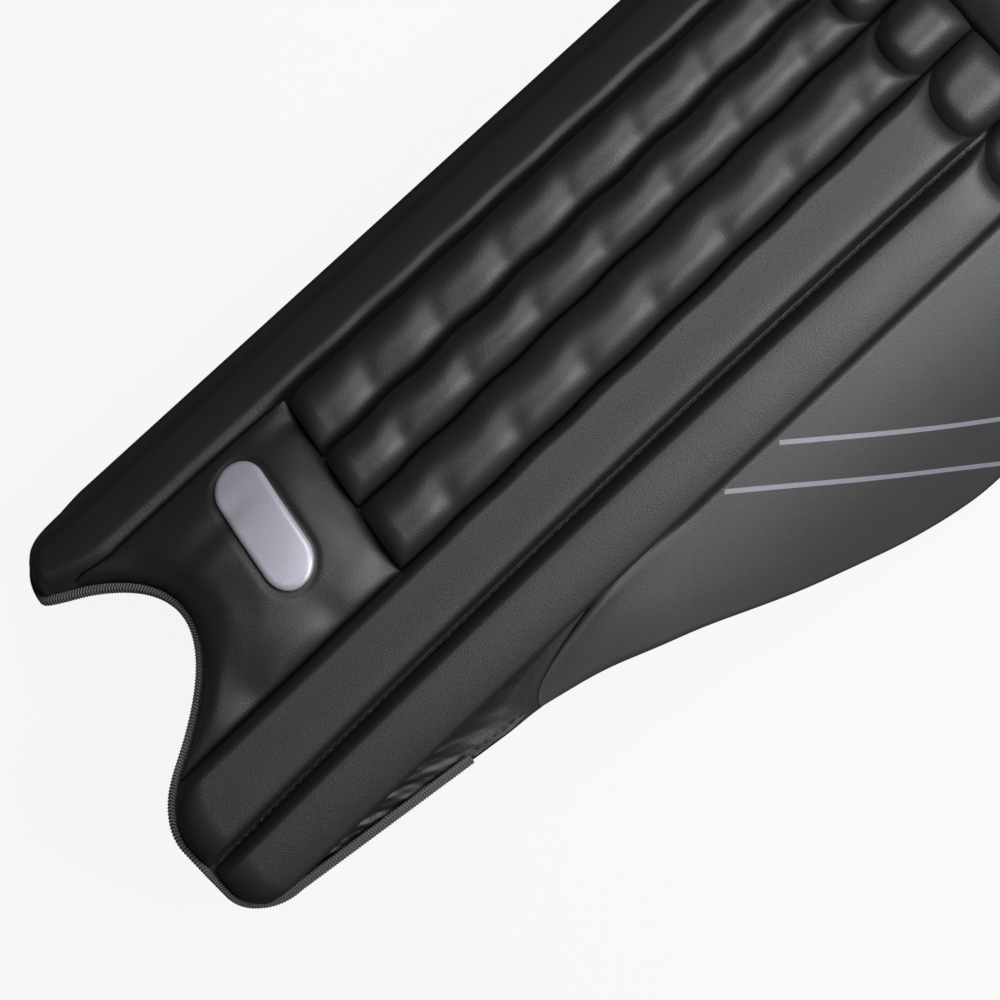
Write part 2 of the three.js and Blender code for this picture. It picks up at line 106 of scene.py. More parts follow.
Station = namedtuple("Station", "y crest curl")
STATIONS = [
    Station(0, 75, 1),
    Station(KNEE_SEAM, 75, 1),
    Station(KNEE_SEAM + BOLSTER, 74, 0.97),
    Station(KNEE_SEAM + 2 * BOLSTER, 71, 0.94),
    Station(TOP_SEAM, 66.5, 0.9),
    Station(PAD_TOP, 48, 0.8),
]
print("flat width over the front:", OUTER_SEAM, "length:", PAD_TOP)

# %% [markdown]
# The bend across the leg is a table of tilts. Adding up short steps at those tilts gives the curve,
# which is a plain sum in numpy. The curve flattens towards the top, so it is worked out for a range of
# curls and read between them. place() then lays any spot on the bent sheet and lifts it by a height.

# %% Bend the flat sheet over the leg
FLANK_REACH, FLANK_ROUND = 60.0, 8.0
WING_WIDTH = 100.0
BEND_STEP, BEND_SPARE = 0.5, 10
FLANK_TILT, EDGE_TILT = 90, 47
WING_TILTS = {0: -26, 6: -32, WING_WIDTH: -46}
strip_middles = SEAMS[:-1] + np.diff(SEAMS) / 2
wing_spots = [OUTER_SEAM + past for past in WING_TILTS]
tilt_spots = [-FLANK_REACH, -FLANK_ROUND, FRONT_EDGE, *strip_middles, *wing_spots]
tilt_values = [FLANK_TILT, FLANK_TILT, EDGE_TILT, *(strip.tilt for strip in STRIPS), *WING_TILTS.values()]

bend_s = np.arange(-FLANK_REACH, OUTER_SEAM + WING_WIDTH + BEND_SPARE, BEND_STEP)
bend_curls = np.linspace(0.8, 1.0, 41)
flat_tilt = np.radians(np.interp(bend_s, tilt_spots, tilt_values))
bend_tilt = flat_tilt * np.where(bend_s < 0, 1.0, bend_curls[:, None])


def summed(steps):
    """Running sum across the sheet, measured from the crest seam."""
    run = (np.cumsum(steps, axis=1) - steps) * BEND_STEP
    crest = round((CREST_SEAM + FLANK_REACH) / BEND_STEP)
    return run - run[:, crest:crest + 1]


bend_x = summed(np.cos(bend_tilt))
bend_z = summed(np.sin(bend_tilt))


def between(table, row, column):
    """Value of a table between its rows and columns."""
    i, j = np.floor(row).astype(int), np.floor(column).astype(int)
    p, q = row - i, column - j
    near = table[i, j] * (1 - q) + table[i, j + 1] * q
    far = table[i + 1, j] * (1 - q) + table[i + 1, j + 1] * q
    return near * (1 - p) + far * p


def place(s, y, height):
    """Millimetre points at s across and y along, lifted by height off the bent sheet."""
    s, y, height = np.broadcast_arrays(*(np.asarray(v, float) for v in (s, y, height)))
    up = np.minimum(y / KNEE_SEAM, 1)
    drift = np.interp(s, SEAMS, LEANS) * (0.5 - up) + np.interp(s, SEAMS, BOWS) * (2 * up - 1) ** 2
    column = np.clip((s + drift + FLANK_REACH) / BEND_STEP, 0, len(bend_s) - 1.001)
    stations_y = [station.y for station in STATIONS]
    curl = np.interp(y, stations_y, [station.curl for station in STATIONS])
    row = np.clip((curl - bend_curls[0]) / (bend_curls[1] - bend_curls[0]), 0, len(bend_curls) - 1.001)
    tilt = between(bend_tilt, row, column)
    crest = np.interp(y, stations_y, [station.crest for station in STATIONS])
    x = between(bend_x, row, column) - height * np.sin(tilt)
    z = between(bend_z, row, column) + height * np.cos(tilt) + crest
    return np.stack([x, y, z], axis=-1)


KNEE_STRAP_Y = 384.0
strap_start = place(-FLANK_ROUND, KNEE_STRAP_Y, -BACKING - GAP)
SHIFT = np.array([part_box("knee_strap")[0].x / MM - strap_start[0], cad_box[0][1] / MM, 0.0])
print("sheet moved into the frame by", SHIFT.round(2), "mm")

# %% [markdown]
# The hem runs round the inner lobe, over the arch for the shoe, round the outer lobe and up the outer side.
# Arcs and curves give it few numbers. The covers and the tape both read it, so they meet. Its inner corner is
# rounder than the solid's, and the tape starts further round it.

# %% The hem line
LOBE_CORNER, INNER_CORNER, INNER_LOBE, OUTER_LOBE = 22.0, 27.0, 20.0, -0.6
ARCH = {"top": 59.6, "middle": 73.3, "drop": 0.0222, "from": 37.5, "to": 115.5}
INNER_FLAT, OUTER_FLAT = 2.0, 24.0
GUSSET_FOOT, SIDE_SLOPE = 7.0, 0.143
SIDE_START = OUTER_SEAM + GUSSET_FOOT
SIDE_FOOT = OUTER_LOBE + LOBE_CORNER
TAPE_START, TAPE_END = 7.0, 103.5


def arch_y(s):
    return ARCH["top"] - ARCH["drop"] * (s - ARCH["middle"]) ** 2


def arch_slope(s):
    return -2 * ARCH["drop"] * (s - ARCH["middle"])


def arc(s, y, radius, start, end, count=40):
    turn = np.radians(np.linspace(start, end, count))
    return np.stack([s + radius * np.cos(turn), y + radius * np.sin(turn)], axis=1)


def bow(a, pull, b, count=60):
    t = np.linspace(0, 1, count)[:, None]
    return (1 - t) ** 2 * np.array(a) + 2 * t * (1 - t) * np.array(pull) + t ** 2 * np.array(b)


arch_left, arch_right = ARCH["from"], ARCH["to"]
left_pull = arch_left - (arch_y(arch_left) - INNER_LOBE) / arch_slope(arch_left)
right_pull = arch_right - (arch_y(arch_right) - OUTER_LOBE) / arch_slope(arch_right)
crown_pull = ARCH["top"] - ARCH["drop"] * (arch_left - ARCH["middle"]) * (arch_right - ARCH["middle"])
hem_line = np.concatenate([
    arc(INNER_CORNER, INNER_LOBE + INNER_CORNER, INNER_CORNER, 180, 270),
    bow((INNER_CORNER + INNER_FLAT, INNER_LOBE), (left_pull, INNER_LOBE), (arch_left, arch_y(arch_left))),
    bow((arch_left, arch_y(arch_left)), ((arch_left + arch_right) / 2, crown_pull),
        (arch_right, arch_y(arch_right)))[1:],
    bow((arch_right, arch_y(arch_right)), (right_pull, OUTER_LOBE),
        (arch_right + OUTER_FLAT, OUTER_LOBE))[1:],
    arc(SIDE_START - LOBE_CORNER, SIDE_FOOT, LOBE_CORNER, -90, 0),
    [[SIDE_START + SIDE_SLOPE * (TAPE_END - SIDE_FOOT), TAPE_END]],
])


def hem_y(s):
    """Lower edge of the pad at s."""
    front = hem_line[:-1]
    return np.interp(s, front[:, 0], front[:, 1])


def hem_inside(s, clear):
    """The lower edge moved in by a clear distance."""
    slope = (hem_y(s + 1) - hem_y(s - 1)) / 2
    return hem_y(s) + clear * np.hypot(1, slope)


def side_edge(y):
    """Outer edge of the gusset at y."""
    corner = LOBE_CORNER ** 2 - np.clip(SIDE_FOOT - y, 0, LOBE_CORNER) ** 2
    rounded = SIDE_START - LOBE_CORNER + np.sqrt(corner)
    return np.where(y > SIDE_FOOT, SIDE_START + SIDE_SLOPE * (y - SIDE_FOOT), rounded)


hem_steps = np.hypot(*np.diff(hem_line, axis=0).T)
print("hem length:", round(hem_steps.sum(), 1), "mm")

# %% [markdown]
# Every finish is made of shader nodes, with no pictures. One helper adds a node, fills in its settings and
# joins its links, and one function turns the usual hex colours into the linear values that shaders want.

# %% Shader helpers
def linear(hex_colour):
    """sRGB hex to linear RGBA."""
    channels = [int(hex_colour[i:i + 2], 16) / 255 for i in (1, 3, 5)]
    return [c / 12.92 if c <= 0.04045 else ((c + 0.055) / 1.055) ** 2.4 for c in channels] + [1.0]


def add_node(tree, kind, links=None, **settings):
    """A shader node with its settings; links go from other nodes' outputs to its inputs."""
    node = tree.nodes.new(kind)
    for name, value in settings.items():
        key = name.replace("_", " ")
        if key in node.inputs:
            node.inputs[key].default_value = value
        else:
            setattr(node, name, value)
    for name, output in (links or {}).items():
        tree.links.new(output, node.inputs[name])
    return node


def new_material(name):
    material = bpy.data.materials.new(name)
    material.use_nodes = True
    tree = material.node_tree
    tree.nodes.clear()
    return material, tree


def per_mm(size_mm):
    """Texture scale whose features are size_mm wide, for coordinates in metres."""
    return 1 / (size_mm * MM)


print("middle grey in linear light:", round(linear("#808080")[0], 3))

# %% [markdown]
# The cover is black coated leather: split leather with a thin embossed film, so it is dark, satin and finely
# grained, and it shows faint creases where it was stretched. Cells of about half a millimetre make the grain,
# and a noise drawn long across the strips makes the creases. The wing's copy has a paler colour, which is
# painted light for the light that falls on the wing.

# %% Black coated leather
def coated_leather(name, colour, roughness, grain_mm, crease_mm):
    material, tree = new_material(name)
    spot = add_node(tree, "ShaderNodeTexCoord").outputs["Object"]
    long_ways = add_node(tree, "ShaderNodeMapping", {"Vector": spot}, Scale=(0.4, 1.0, 0.4))
    cells = add_node(tree, "ShaderNodeTexVoronoi", {"Vector": spot}, Scale=per_mm(grain_mm))
    creases = add_node(tree, "ShaderNodeTexNoise", {"Vector": long_ways.outputs["Vector"]},
                       Scale=per_mm(crease_mm), Detail=2.0, Roughness=0.6)
    patches = add_node(tree, "ShaderNodeTexNoise", {"Vector": spot}, Scale=per_mm(26), Detail=4.0)
    relief = add_node(tree, "ShaderNodeMath",
                      {0: cells.outputs["Distance"], 2: creases.outputs["Fac"]}, operation="MULTIPLY_ADD")
    relief.inputs[1].default_value = 0.4
    bump = add_node(tree, "ShaderNodeBump", {"Height": relief.outputs["Value"]},
                    Strength=0.6, Distance=0.16 * MM)
    sheen = add_node(tree, "ShaderNodeMapRange", {"Value": patches.outputs["Fac"]},
                     To_Min=roughness - 0.05, To_Max=roughness + 0.07)
    tint = add_node(tree, "ShaderNodeMapRange", {"Value": creases.outputs["Fac"]}, To_Min=0.76, To_Max=1.24)
    surface_colour = add_node(tree, "ShaderNodeHueSaturation", {"Value": tint.outputs["Result"]}, Color=linear(colour))
    shader = add_node(tree, "ShaderNodeBsdfPrincipled",
                      {"Base Color": surface_colour.outputs["Color"], "Roughness": sheen.outputs["Result"],
                       "Normal": bump.outputs["Normal"]}, IOR=1.5)
    add_node(tree, "ShaderNodeOutputMaterial", {"Surface": shader.outputs["BSDF"]})
    return material


leather = coated_leather("black_coated_leather", "#1c1c1d", 0.46, grain_mm=0.45, crease_mm=0.45)
# The wing's leather is the same black leather painted paler: painted light for the light on the wing.
painted_light_leather = coated_leather("black_coated_leather_painted_lighter", "#343435", 0.46, grain_mm=0.45, crease_mm=0.4)
print("leathers:", leather.name, painted_light_leather.name)

# %% [markdown]
# The lining is a black plain weave over foam, matt and faintly furry beside the leather. Two waves at right
# angles stand for its threads, each about 1 mm wide, which is coarser than the cloth so that the weave shows.

# %% Woven lining
# The wave texture turns this many radians a unit.
WAVE_UNIT = 20


def woven_lining():
    material, tree = new_material("black_woven_lining")
    spot = add_node(tree, "ShaderNodeTexCoord").outputs["Object"]
    threads = []
    for direction in ("X", "Y"):
        threads.append(add_node(tree, "ShaderNodeTexWave", {"Vector": spot}, bands_direction=direction,
                                Scale=per_mm(1.0) / WAVE_UNIT * math.pi, Distortion=0.4, Detail=1.0))
    weave = add_node(tree, "ShaderNodeMath", {0: threads[0].outputs["Fac"], 1: threads[1].outputs["Fac"]},
                     operation="MULTIPLY")
    bump = add_node(tree, "ShaderNodeBump", {"Height": weave.outputs["Value"]},
                    Strength=0.6, Distance=0.2 * MM)
    tint = add_node(tree, "ShaderNodeMapRange", {"Value": weave.outputs["Value"]}, To_Min=0.7, To_Max=1.25)
    surface_colour = add_node(tree, "ShaderNodeHueSaturation", {"Value": tint.outputs["Result"]},
                   Color=linear("#222224"))
    shader = add_node(tree, "ShaderNodeBsdfPrincipled",
                      {"Base Color": surface_colour.outputs["Color"], "Normal": bump.outputs["Normal"]},
                      Roughness=0.85, IOR=1.45, Sheen_Weight=0.25, Sheen_Roughness=0.5)
    add_node(tree, "ShaderNodeOutputMaterial", {"Surface": shader.outputs["BSDF"]})
    return material


lining = woven_lining()
print("lining:", lining.name)

# %% [markdown]
# The hem tape and the straps are ribbed nylon. Their ribs are real geometry, and each mesh carries a number
# called rib, 0 in a groove and 1 on a rib, so that the crests are painted paler than the grooves between
# them:
# painted highlight on the crests and painted shade in the grooves.
# The thread is fine black nylon with a small glint, painted a lighter grey as painted highlight. The badge is
# silver film, partly metallic, so it has a soft gleam, and the stripes are silver ink, which is flatter and
# painted greyer: painted shade, against the stronger light on the wing.

# %% Ribbed nylon, sewing thread and silver
# Places of the colours among the mix node's inputs and outputs.
MIX_FIRST, MIX_SECOND, MIX_RESULT = 6, 7, 2


def ribbed_nylon(name, groove, crest, roughness):
    material, tree = new_material(name)
    rib = add_node(tree, "ShaderNodeAttribute", attribute_name="rib").outputs["Fac"]
    spot = add_node(tree, "ShaderNodeTexCoord").outputs["Object"]
    fibres = add_node(tree, "ShaderNodeTexNoise", {"Vector": spot}, Scale=per_mm(0.35), Detail=2.0)
    bump = add_node(tree, "ShaderNodeBump", {"Height": fibres.outputs["Fac"]},
                    Strength=0.4, Distance=0.1 * MM)
    # The groove colour is painted shade and the crest colour painted highlight, mixed by the rib number.
    surface_colour = add_node(tree, "ShaderNodeMix", {"Factor": rib}, data_type="RGBA")
    surface_colour.inputs[MIX_FIRST].default_value = linear(groove)
    surface_colour.inputs[MIX_SECOND].default_value = linear(crest)
    shader = add_node(tree, "ShaderNodeBsdfPrincipled",
                      {"Base Color": surface_colour.outputs[MIX_RESULT], "Normal": bump.outputs["Normal"]},
                      Roughness=roughness, IOR=1.53, Sheen_Weight=0.15)
    add_node(tree, "ShaderNodeOutputMaterial", {"Surface": shader.outputs["BSDF"]})
    return material


def plain_film(name, colour, roughness, metallic, grit_mm):
    material, tree = new_material(name)
    spot = add_node(tree, "ShaderNodeTexCoord").outputs["Object"]
    grit = add_node(tree, "ShaderNodeTexNoise", {"Vector": spot}, Scale=per_mm(grit_mm), Detail=2.0)
    bump = add_node(tree, "ShaderNodeBump", {"Height": grit.outputs["Fac"]}, Strength=0.25, Distance=0.1 * MM)
    tint = add_node(tree, "ShaderNodeMapRange", {"Value": grit.outputs["Fac"]}, To_Min=0.75, To_Max=1.25)
    surface_colour = add_node(tree, "ShaderNodeHueSaturation", {"Value": tint.outputs["Result"]}, Color=linear(colour))
    shader = add_node(tree, "ShaderNodeBsdfPrincipled",
                      {"Base Color": surface_colour.outputs["Color"], "Normal": bump.outputs["Normal"]},
                      Roughness=roughness, Metallic=metallic)
    add_node(tree, "ShaderNodeOutputMaterial", {"Surface": shader.outputs["BSDF"]})
    return material


# Near-black grooves are painted shade and the paler crests painted highlight.
grosgrain = ribbed_nylon("black_grosgrain_tape", "#030303", "#606062", 0.55)
webbing = ribbed_nylon("black_strap_webbing", "#0d0d0e", "#2c2c2e", 0.6)
# The thread's dark grey is lighter than black nylon: painted highlight, so the stitches show in the dark
# seams.
thread = plain_film("black_nylon_thread", "#2c2c2e", 0.45, 0.0, grit_mm=0.3)
silver = plain_film("silver_film", "#a8a8b4", 0.42, 0.35, grit_mm=0.5)
# The stripes' ink is the silver painted darker: painted shade that offsets the stronger light on the wing.
shaded_silver_ink = plain_film("shaded_silver_ink", "#7e7e88", 0.5, 0.2, grit_mm=0.6)
print("materials:", len(bpy.data.materials))

# %% [markdown]
# Nearly every piece is a padded panel: an upper skin, a lower skin and a narrow wall round the rim, on one
# grid. A grid keeps the mesh even, gives exact control over seams and dents, and stays closed. The helper
# takes four arrays over the grid: s, y, the lower height and the upper height. From here on p is the share of
# the way across a panel, and q the share of the way along it.

# %% Padded panels
def grid_object(name, points, faces, smooth_degrees=50):
    """A mesh object from millimetre points on the sheet, moved into the frame."""
    mesh = bpy.data.meshes.new(name)
    mesh.from_pydata(((points + SHIFT) * MM).tolist(), [], faces)
    mesh.polygons.foreach_set("use_smooth", [True] * len(mesh.polygons))
    mesh.set_sharp_from_angle(angle=math.radians(smooth_degrees))
    mesh.update()
    piece = bpy.data.objects.new(name, mesh)
    bpy.context.scene.collection.objects.link(piece)
    return piece


def padded_panel(name, s, y, low, high, swell=0.0):
    s, y, low, high = np.broadcast_arrays(s, y, low, high)
    upper_skin = place(s, y, high) + swell
    points = np.concatenate([upper_skin.reshape(-1, 3), place(s, y, low).reshape(-1, 3)])
    count = s.size
    index = np.arange(count).reshape(s.shape)
    upper = np.stack([index[:-1, :-1], index[1:, :-1], index[1:, 1:], index[:-1, 1:]], -1).reshape(-1, 4)
    rim = np.concatenate([index[:-1, 0], index[-1, :-1], index[:0:-1, -1], index[0, :0:-1]])
    ahead = np.roll(rim, -1)
    wall = np.stack([rim, rim + count, ahead + count, ahead], -1)
    faces = np.concatenate([upper, upper[:, ::-1] + count, wall])
    return grid_object(name, points, faces.tolist())


def dress(piece, material, nodes=()):
    """Gives a piece its finish, lets it ride on the pad, and hides the solids it stands for."""
    piece.data.materials.append(material)
    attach(piece, "root")
    if nodes:
        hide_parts(*nodes)
    print(piece.name, len(piece.data.polygons), "faces")
    return piece


def grid(across, along):
    return np.meshgrid(across, along, indexing="ij")


def crowded(count):
    """Spacing from 0 to 1 that crowds towards both ends."""
    return 0.5 - 0.5 * np.cos(np.pi * np.linspace(0, 1, count))


def rise(distance, radius):
    """Rounded shoulder: 0 at an edge, 1 from radius inwards."""
    t = np.clip(distance / radius, 0, 1)
    return np.sqrt(t * (2 - t))


def ramp(distance, radius):
    """Steep soft wall: it climbs evenly from an edge and rounds off at radius."""
    return np.sin(np.pi / 2 * np.clip(distance / radius, 0, 1))


def crown(t, power):
    """Padded cross profile: a low power is round, a high one flat-topped."""
    return np.clip(1 - np.abs(2 * t - 1) ** power, 0, 1) ** (1 / 2.2)


def smooth_step(value, start, end):
    t = np.clip((value - start) / (end - start), 0, 1)
    return t * t * (3 - 2 * t)


def bump_at(distance, width):
    """1 at distance 0, fading evenly on both sides."""
    return np.exp(-(distance / width) ** 2)


print("a shoulder of radius 4 mm reaches", round(float(rise(1.0, 4.0)), 2), "of its height 1 mm in")

# %% [markdown]
# Stuffed leather takes its roundness from the filling that presses on it and the seams that hold it down.
# Cloth simulation gives just that: a coarse copy of the panel is held at its seams and dents while pressure
# blows it up, and the way each point moves, kept short, is carried back to the fine panel. The copy is then
# removed.

# %% Swelling by cloth
CLOTH_FRAMES, PRESSURE = 20, 4.0
CLOTH_STIFFNESS = {"tension": 40.0, "compression": 40.0, "shear": 15.0, "bending": 0.5}


def smoothed(values, times):
    """Evens out a grid by averaging neighbours along both axes."""
    for _ in range(times):
        for axis in (0, 1):
            pad = [(1, 1) if k == axis else (0, 0) for k in range(values.ndim)]
            wide = np.pad(values, pad, mode="edge")
            count = values.shape[axis]
            before, after = (np.take(wide, np.arange(count) + k, axis=axis) for k in (0, 2))
            values = (before + 2 * values + after) / 4
    return values


def cloth_swell(s, y, low, high, sewn, cap, stride, slack):
    """Millimetres that each point of the upper skin moves under pressure; sewn is 1 where it is held."""
    s, y, low, high, sewn = np.broadcast_arrays(s, y, low, high, sewn)
    rows, columns = (np.unique(np.r_[0:n:step, n - 1]) for n, step in zip(s.shape, stride))
    pick = np.ix_(rows, columns)
    trial = padded_panel("cloth_trial", s[pick], y[pick], low[pick], high[pick])
    count = len(rows) * len(columns)
    hold = trial.vertex_groups.new(name="sewn")
    for index, weight in enumerate(np.concatenate([sewn[pick].ravel(), np.ones(count)])):
        hold.add([index], float(weight), "REPLACE")
    cloth = trial.modifiers.new("cloth", "CLOTH")
    cloth.point_cache.frame_start, cloth.point_cache.frame_end = 1, CLOTH_FRAMES
    cloth.settings.vertex_group_mass = "sewn"
    cloth.settings.use_pressure = True
    cloth.settings.uniform_pressure_force = PRESSURE
    cloth.settings.effector_weights.gravity = 0.0
    for kind, stiffness in CLOTH_STIFFNESS.items():
        setattr(cloth.settings, f"{kind}_stiffness", stiffness)
    cloth.settings.shrink_min = -slack
    for frame_number in range(1, CLOTH_FRAMES + 1):
        bpy.context.scene.frame_set(frame_number)
    settled = trial.evaluated_get(bpy.context.evaluated_depsgraph_get()).data
    start, end = np.empty(count * 6), np.empty(count * 6)
    trial.data.vertices.foreach_get("co", start)
    settled.vertices.foreach_get("co", end)
    bpy.data.objects.remove(trial)
    bpy.context.scene.frame_set(1)
    move = (end - start).reshape(2, len(rows), len(columns), 3)[0] / MM
    length = np.linalg.norm(move, axis=-1, keepdims=True)
    average, most = round(float(length.mean()), 2), round(float(length.max()), 2)
    print("cloth moved", average, "mm on average, at most", most)
    move = move * np.minimum(1, cap / np.maximum(length, 1e-6))
    spread = []
    for size, kept in zip(s.shape, (rows, columns)):
        share = np.interp(np.arange(size), kept, np.arange(len(kept)))
        spread.append(share.clip(0, len(kept) - 1.001))
    row, column = grid(*spread)
    fine = np.stack([between(move[..., k], row, column) for k in range(3)], axis=-1)
    return smoothed(fine, 4 * max(stride)) * (1 - sewn[..., None])


def stuffed_panel(name, s, y, height, sewn, cap, stride, slack):
    """A padded panel whose upper skin swells under pressure, by at most cap millimetres."""
    swell = cloth_swell(s, y, GAP, height, sewn, cap, stride, slack)
    return padded_panel(name, s, y, GAP, height, swell)


print("each stuffed panel swells over", CLOTH_FRAMES, "frames, apart from a quick run")


# %% [markdown]
# The backing is the shell that all else is sewn to: leather outside, woven lining inside, and foam between.
# Its inner flank stands on the floor. The sewn seams pull the lining in, so shallow channels show behind.

# %% Backing
HEM_ZONE, TOP_ZONE = 112.0, PAD_TOP - TOP_CORNER
HEM_THICK, HEM_TAPER = 2.4, 9
FLANK_LEAST, FLANK_RISE = 2, (38, 92)
RIM_HALF, RIM_ROUND = 0.3, 3.0
CHANNEL_DEPTH, CHANNEL_WIDTH = 1.3, 3.0
# Where the wing is joined, the backing keeps its full thickness up to the seam.
WING_JOIN = {"from": (135, 160), "to": (435, 455), "in": 4}


def top_edge(s):
    from_side = np.minimum(s - FRONT_EDGE, OUTER_SEAM - s)
    into = np.clip(TOP_CORNER - from_side, 0, TOP_CORNER)
    return PAD_TOP - TOP_CORNER + np.sqrt(TOP_CORNER ** 2 - into ** 2)


def flank_depth(y):
    standing = FLANK_ROUND + place(-FLANK_ROUND, y, 0)[..., 2]
    share = smooth_step(y, *FLANK_RISE) * (1 - smooth_step(y, TOP_SEAM, TOP_ZONE))
    return FLANK_LEAST + (standing - FLANK_LEAST) * share


front_s = np.concatenate([np.linspace(0, OUTER_SEAM - 4, 90), OUTER_SEAM - np.array([2.6, 1.5, 0.7, 0.2, 0])])
flank_share = np.concatenate([[1.0, 0.99, 0.97, 0.94], np.linspace(0.9, 0.04, 12)])
front = np.concatenate([np.zeros(len(flank_share)), front_s])[:, None]
row_hem = hem_y(front) + (HEM_ZONE - hem_y(front)) * np.linspace(0, 1, 36)[:-1] ** 1.3
row_mid = np.linspace(HEM_ZONE, TOP_ZONE, 150)[:-1] + 0 * front
row_top = TOP_ZONE + (top_edge(front) - TOP_ZONE) * (1 - (1 - np.linspace(0, 1, 26)) ** 1.6)
backing_y = np.concatenate([row_hem, row_mid, row_top], axis=1)
flank_s = -flank_share[:, None] * flank_depth(backing_y[:len(flank_share)])
backing_s = np.concatenate([flank_s, np.repeat(front_s[:, None], backing_y.shape[1], axis=1)])

wing_joined = smooth_step(backing_y, *WING_JOIN["from"]) * (1 - smooth_step(backing_y, *WING_JOIN["to"]))
outer_away = OUTER_SEAM - backing_s + WING_JOIN["in"] * wing_joined
edge_away = np.minimum(outer_away, top_edge(np.maximum(backing_s, 0)) - backing_y)
flank_away = (1 - np.concatenate([flank_share, np.zeros(len(front_s))]))[:, None] * flank_depth(backing_y)
edge_away = np.minimum(edge_away, flank_away)
half_thick = RIM_HALF + (BACKING / 2 - RIM_HALF) * rise(edge_away, RIM_ROUND)
channels = sum(bump_at(backing_s - seam, CHANNEL_WIDTH) for seam in SEAMS[1:-1]) * (backing_y < KNEE_SEAM)
hem_slope = (hem_y(front + 1) - hem_y(front - 1)) / 2
hem_away = (backing_y - hem_y(front)) / np.hypot(1, hem_slope)
backing_low = -BACKING / 2 - half_thick + CHANNEL_DEPTH * channels
hem_low = -HEM_THICK - (BACKING - HEM_THICK) * smooth_step(hem_away, 0, HEM_TAPER)
backing_low = np.maximum(backing_low, hem_low)
backing = padded_panel("backing_shell", backing_s, backing_y, backing_low, -BACKING / 2 + half_thick)
dress(backing, leather, ["backing"])
backing.data.materials.append(lining)
skin = (backing_s.shape[0] - 1) * (backing_s.shape[1] - 1)
for face in backing.data.polygons[skin:2 * skin]:
    face.material_index = 1

# %% [markdown]
# The shin is covered by three quilted rolls between flat bars. Where a roll is pinched by a quilting dent,
# the seam beside it swings towards the roll, so the seams wave slightly. One function gives that line for
# both neighbours, so they stay joined.

# %% Quilting dents and waving seams
Quilting = namedtuple("Quilting", "roll first pitch")
QUILTING = [Quilting(1, 173, 34.9), Quilting(2, 167.8, 35), Quilting(3, 165.1, 35.9)]
DENT_DEPTH, DENT_SLANT = 0.13, 0.25
SEWN_GAP = 0.05
DENT_FADE = (0.2, 0.9)
PINCH_WIDTH, PINCH_NARROWING = 0.85, 0.4
QUILT_START, QUILT_END = (140, 160), (LUMP_CREASE - 16, LUMP_CREASE)
# The innermost seam hooks inwards near its foot.
SEAM_HOOK, HOOK_TOP, HOOK_LENGTH = 9.0, 54, 28
# For each seam, how far it swings outwards at the dents of the rolls beside it.
SEAM_WAVE = {1: {1: 0.3}, 2: {1: -0.8, 2: 0.4}, 3: {2: -0.7, 3: 0.35}, 4: {3: -0.25}}
# The crease under a head lump is lowest at this share of the way across, and climbs on both sides.
LUMP_LOW, LUMP_REST, LUMP_RISE = 0.55, 0.45, (12, 7)


def quilted_part(y):
    """1 along the quilted length, 0 beyond it."""
    return smooth_step(y, *QUILT_START) * (1 - smooth_step(y, *QUILT_END))


def quilt_wave(roll, y):
    """1 at each dent of a roll, -1 between them, and 0 beyond the quilted length."""
    quilting = QUILTING[roll - 1]
    return np.cos(2 * np.pi * (y - quilting.first) / quilting.pitch) * quilted_part(y)


def quilt_dent(roll, p, y):
    """1 in the crease of each dent, less in the puffs; it slants, and fades towards the inner side."""
    quilting = QUILTING[roll - 1]
    slanted = y - DENT_SLANT * STRIPS[roll].width * (0.75 - np.maximum(p, 0.3))
    puff = np.sin(np.pi * (slanted - quilting.first) / quilting.pitch)
    outward = smooth_step(p, *DENT_FADE)
    pinch = np.exp(-(puff / (PINCH_WIDTH - PINCH_NARROWING * outward)) ** 2)
    return pinch * outward * quilted_part(y)


def seam_line(seam, y):
    """Place across of a seam between strips at y."""
    line = SEAMS[seam] + 0 * y
    for roll_beside, swing in SEAM_WAVE.get(seam, {}).items():
        line = line + swing * quilt_wave(roll_beside, y)
    if seam == 1:
        line = line - SEAM_HOOK * np.clip((HOOK_TOP - y) / HOOK_LENGTH, 0, 1) ** 1.6
    return line


def instep_seam_y(s):
    """Height up the leg of the seam above the instep."""
    share = (s - INSTEP_LEFT) / (CREST_SEAM - INSTEP_LEFT)
    return INSTEP_SEAM["inner"] + (INSTEP_SEAM["outer"] - INSTEP_SEAM["inner"]) * share


def lump_crease(p):
    """Lower edge of a head lump at p across its strip: a U that climbs higher on the inner side."""
    inner = np.clip((LUMP_LOW - p) / LUMP_LOW, 0, 1) ** 2.5
    outer = np.clip((p - LUMP_LOW) / LUMP_REST, 0, 1) ** 2.5
    return LUMP_CREASE - 1 + LUMP_RISE[0] * inner + LUMP_RISE[1] * outer


def head_swell(p, y, width, body_soft):
    """How full a strip is near its head: 1 along its body, a soft valley, then a fat rounded lump."""
    steep = (lump_crease(p + 0.01) - lump_crease(p - 0.01)) / (0.02 * width)
    away = (y - lump_crease(p)) / np.hypot(1, steep)
    valley = np.exp(-np.where(away < 0, -away / body_soft, away / 2.4))
    fat = 1 + 0.06 * smooth_step(away, 0, 6)
    return (1 - 0.5 * valley) * fat * (0.4 + 0.6 * rise(KNEE_SEAM - y, 11))


def strip_rows(p, start):
    """Rows of y from start to the head, crowded at the ends, with one row on the crease."""
    crease, head = lump_crease(p), KNEE_SEAM - GAP
    t = np.linspace(0, 1, 280)
    body = start + (crease - start) * (t - 0.12 * np.sin(2 * np.pi * t))
    lump = crease + (head - crease) * crowded(36)[1:]
    return np.concatenate([body, lump], axis=1)


print("dents on each roll:", [int((LUMP_CREASE - roll.first) / roll.pitch) + 1 for roll in QUILTING])

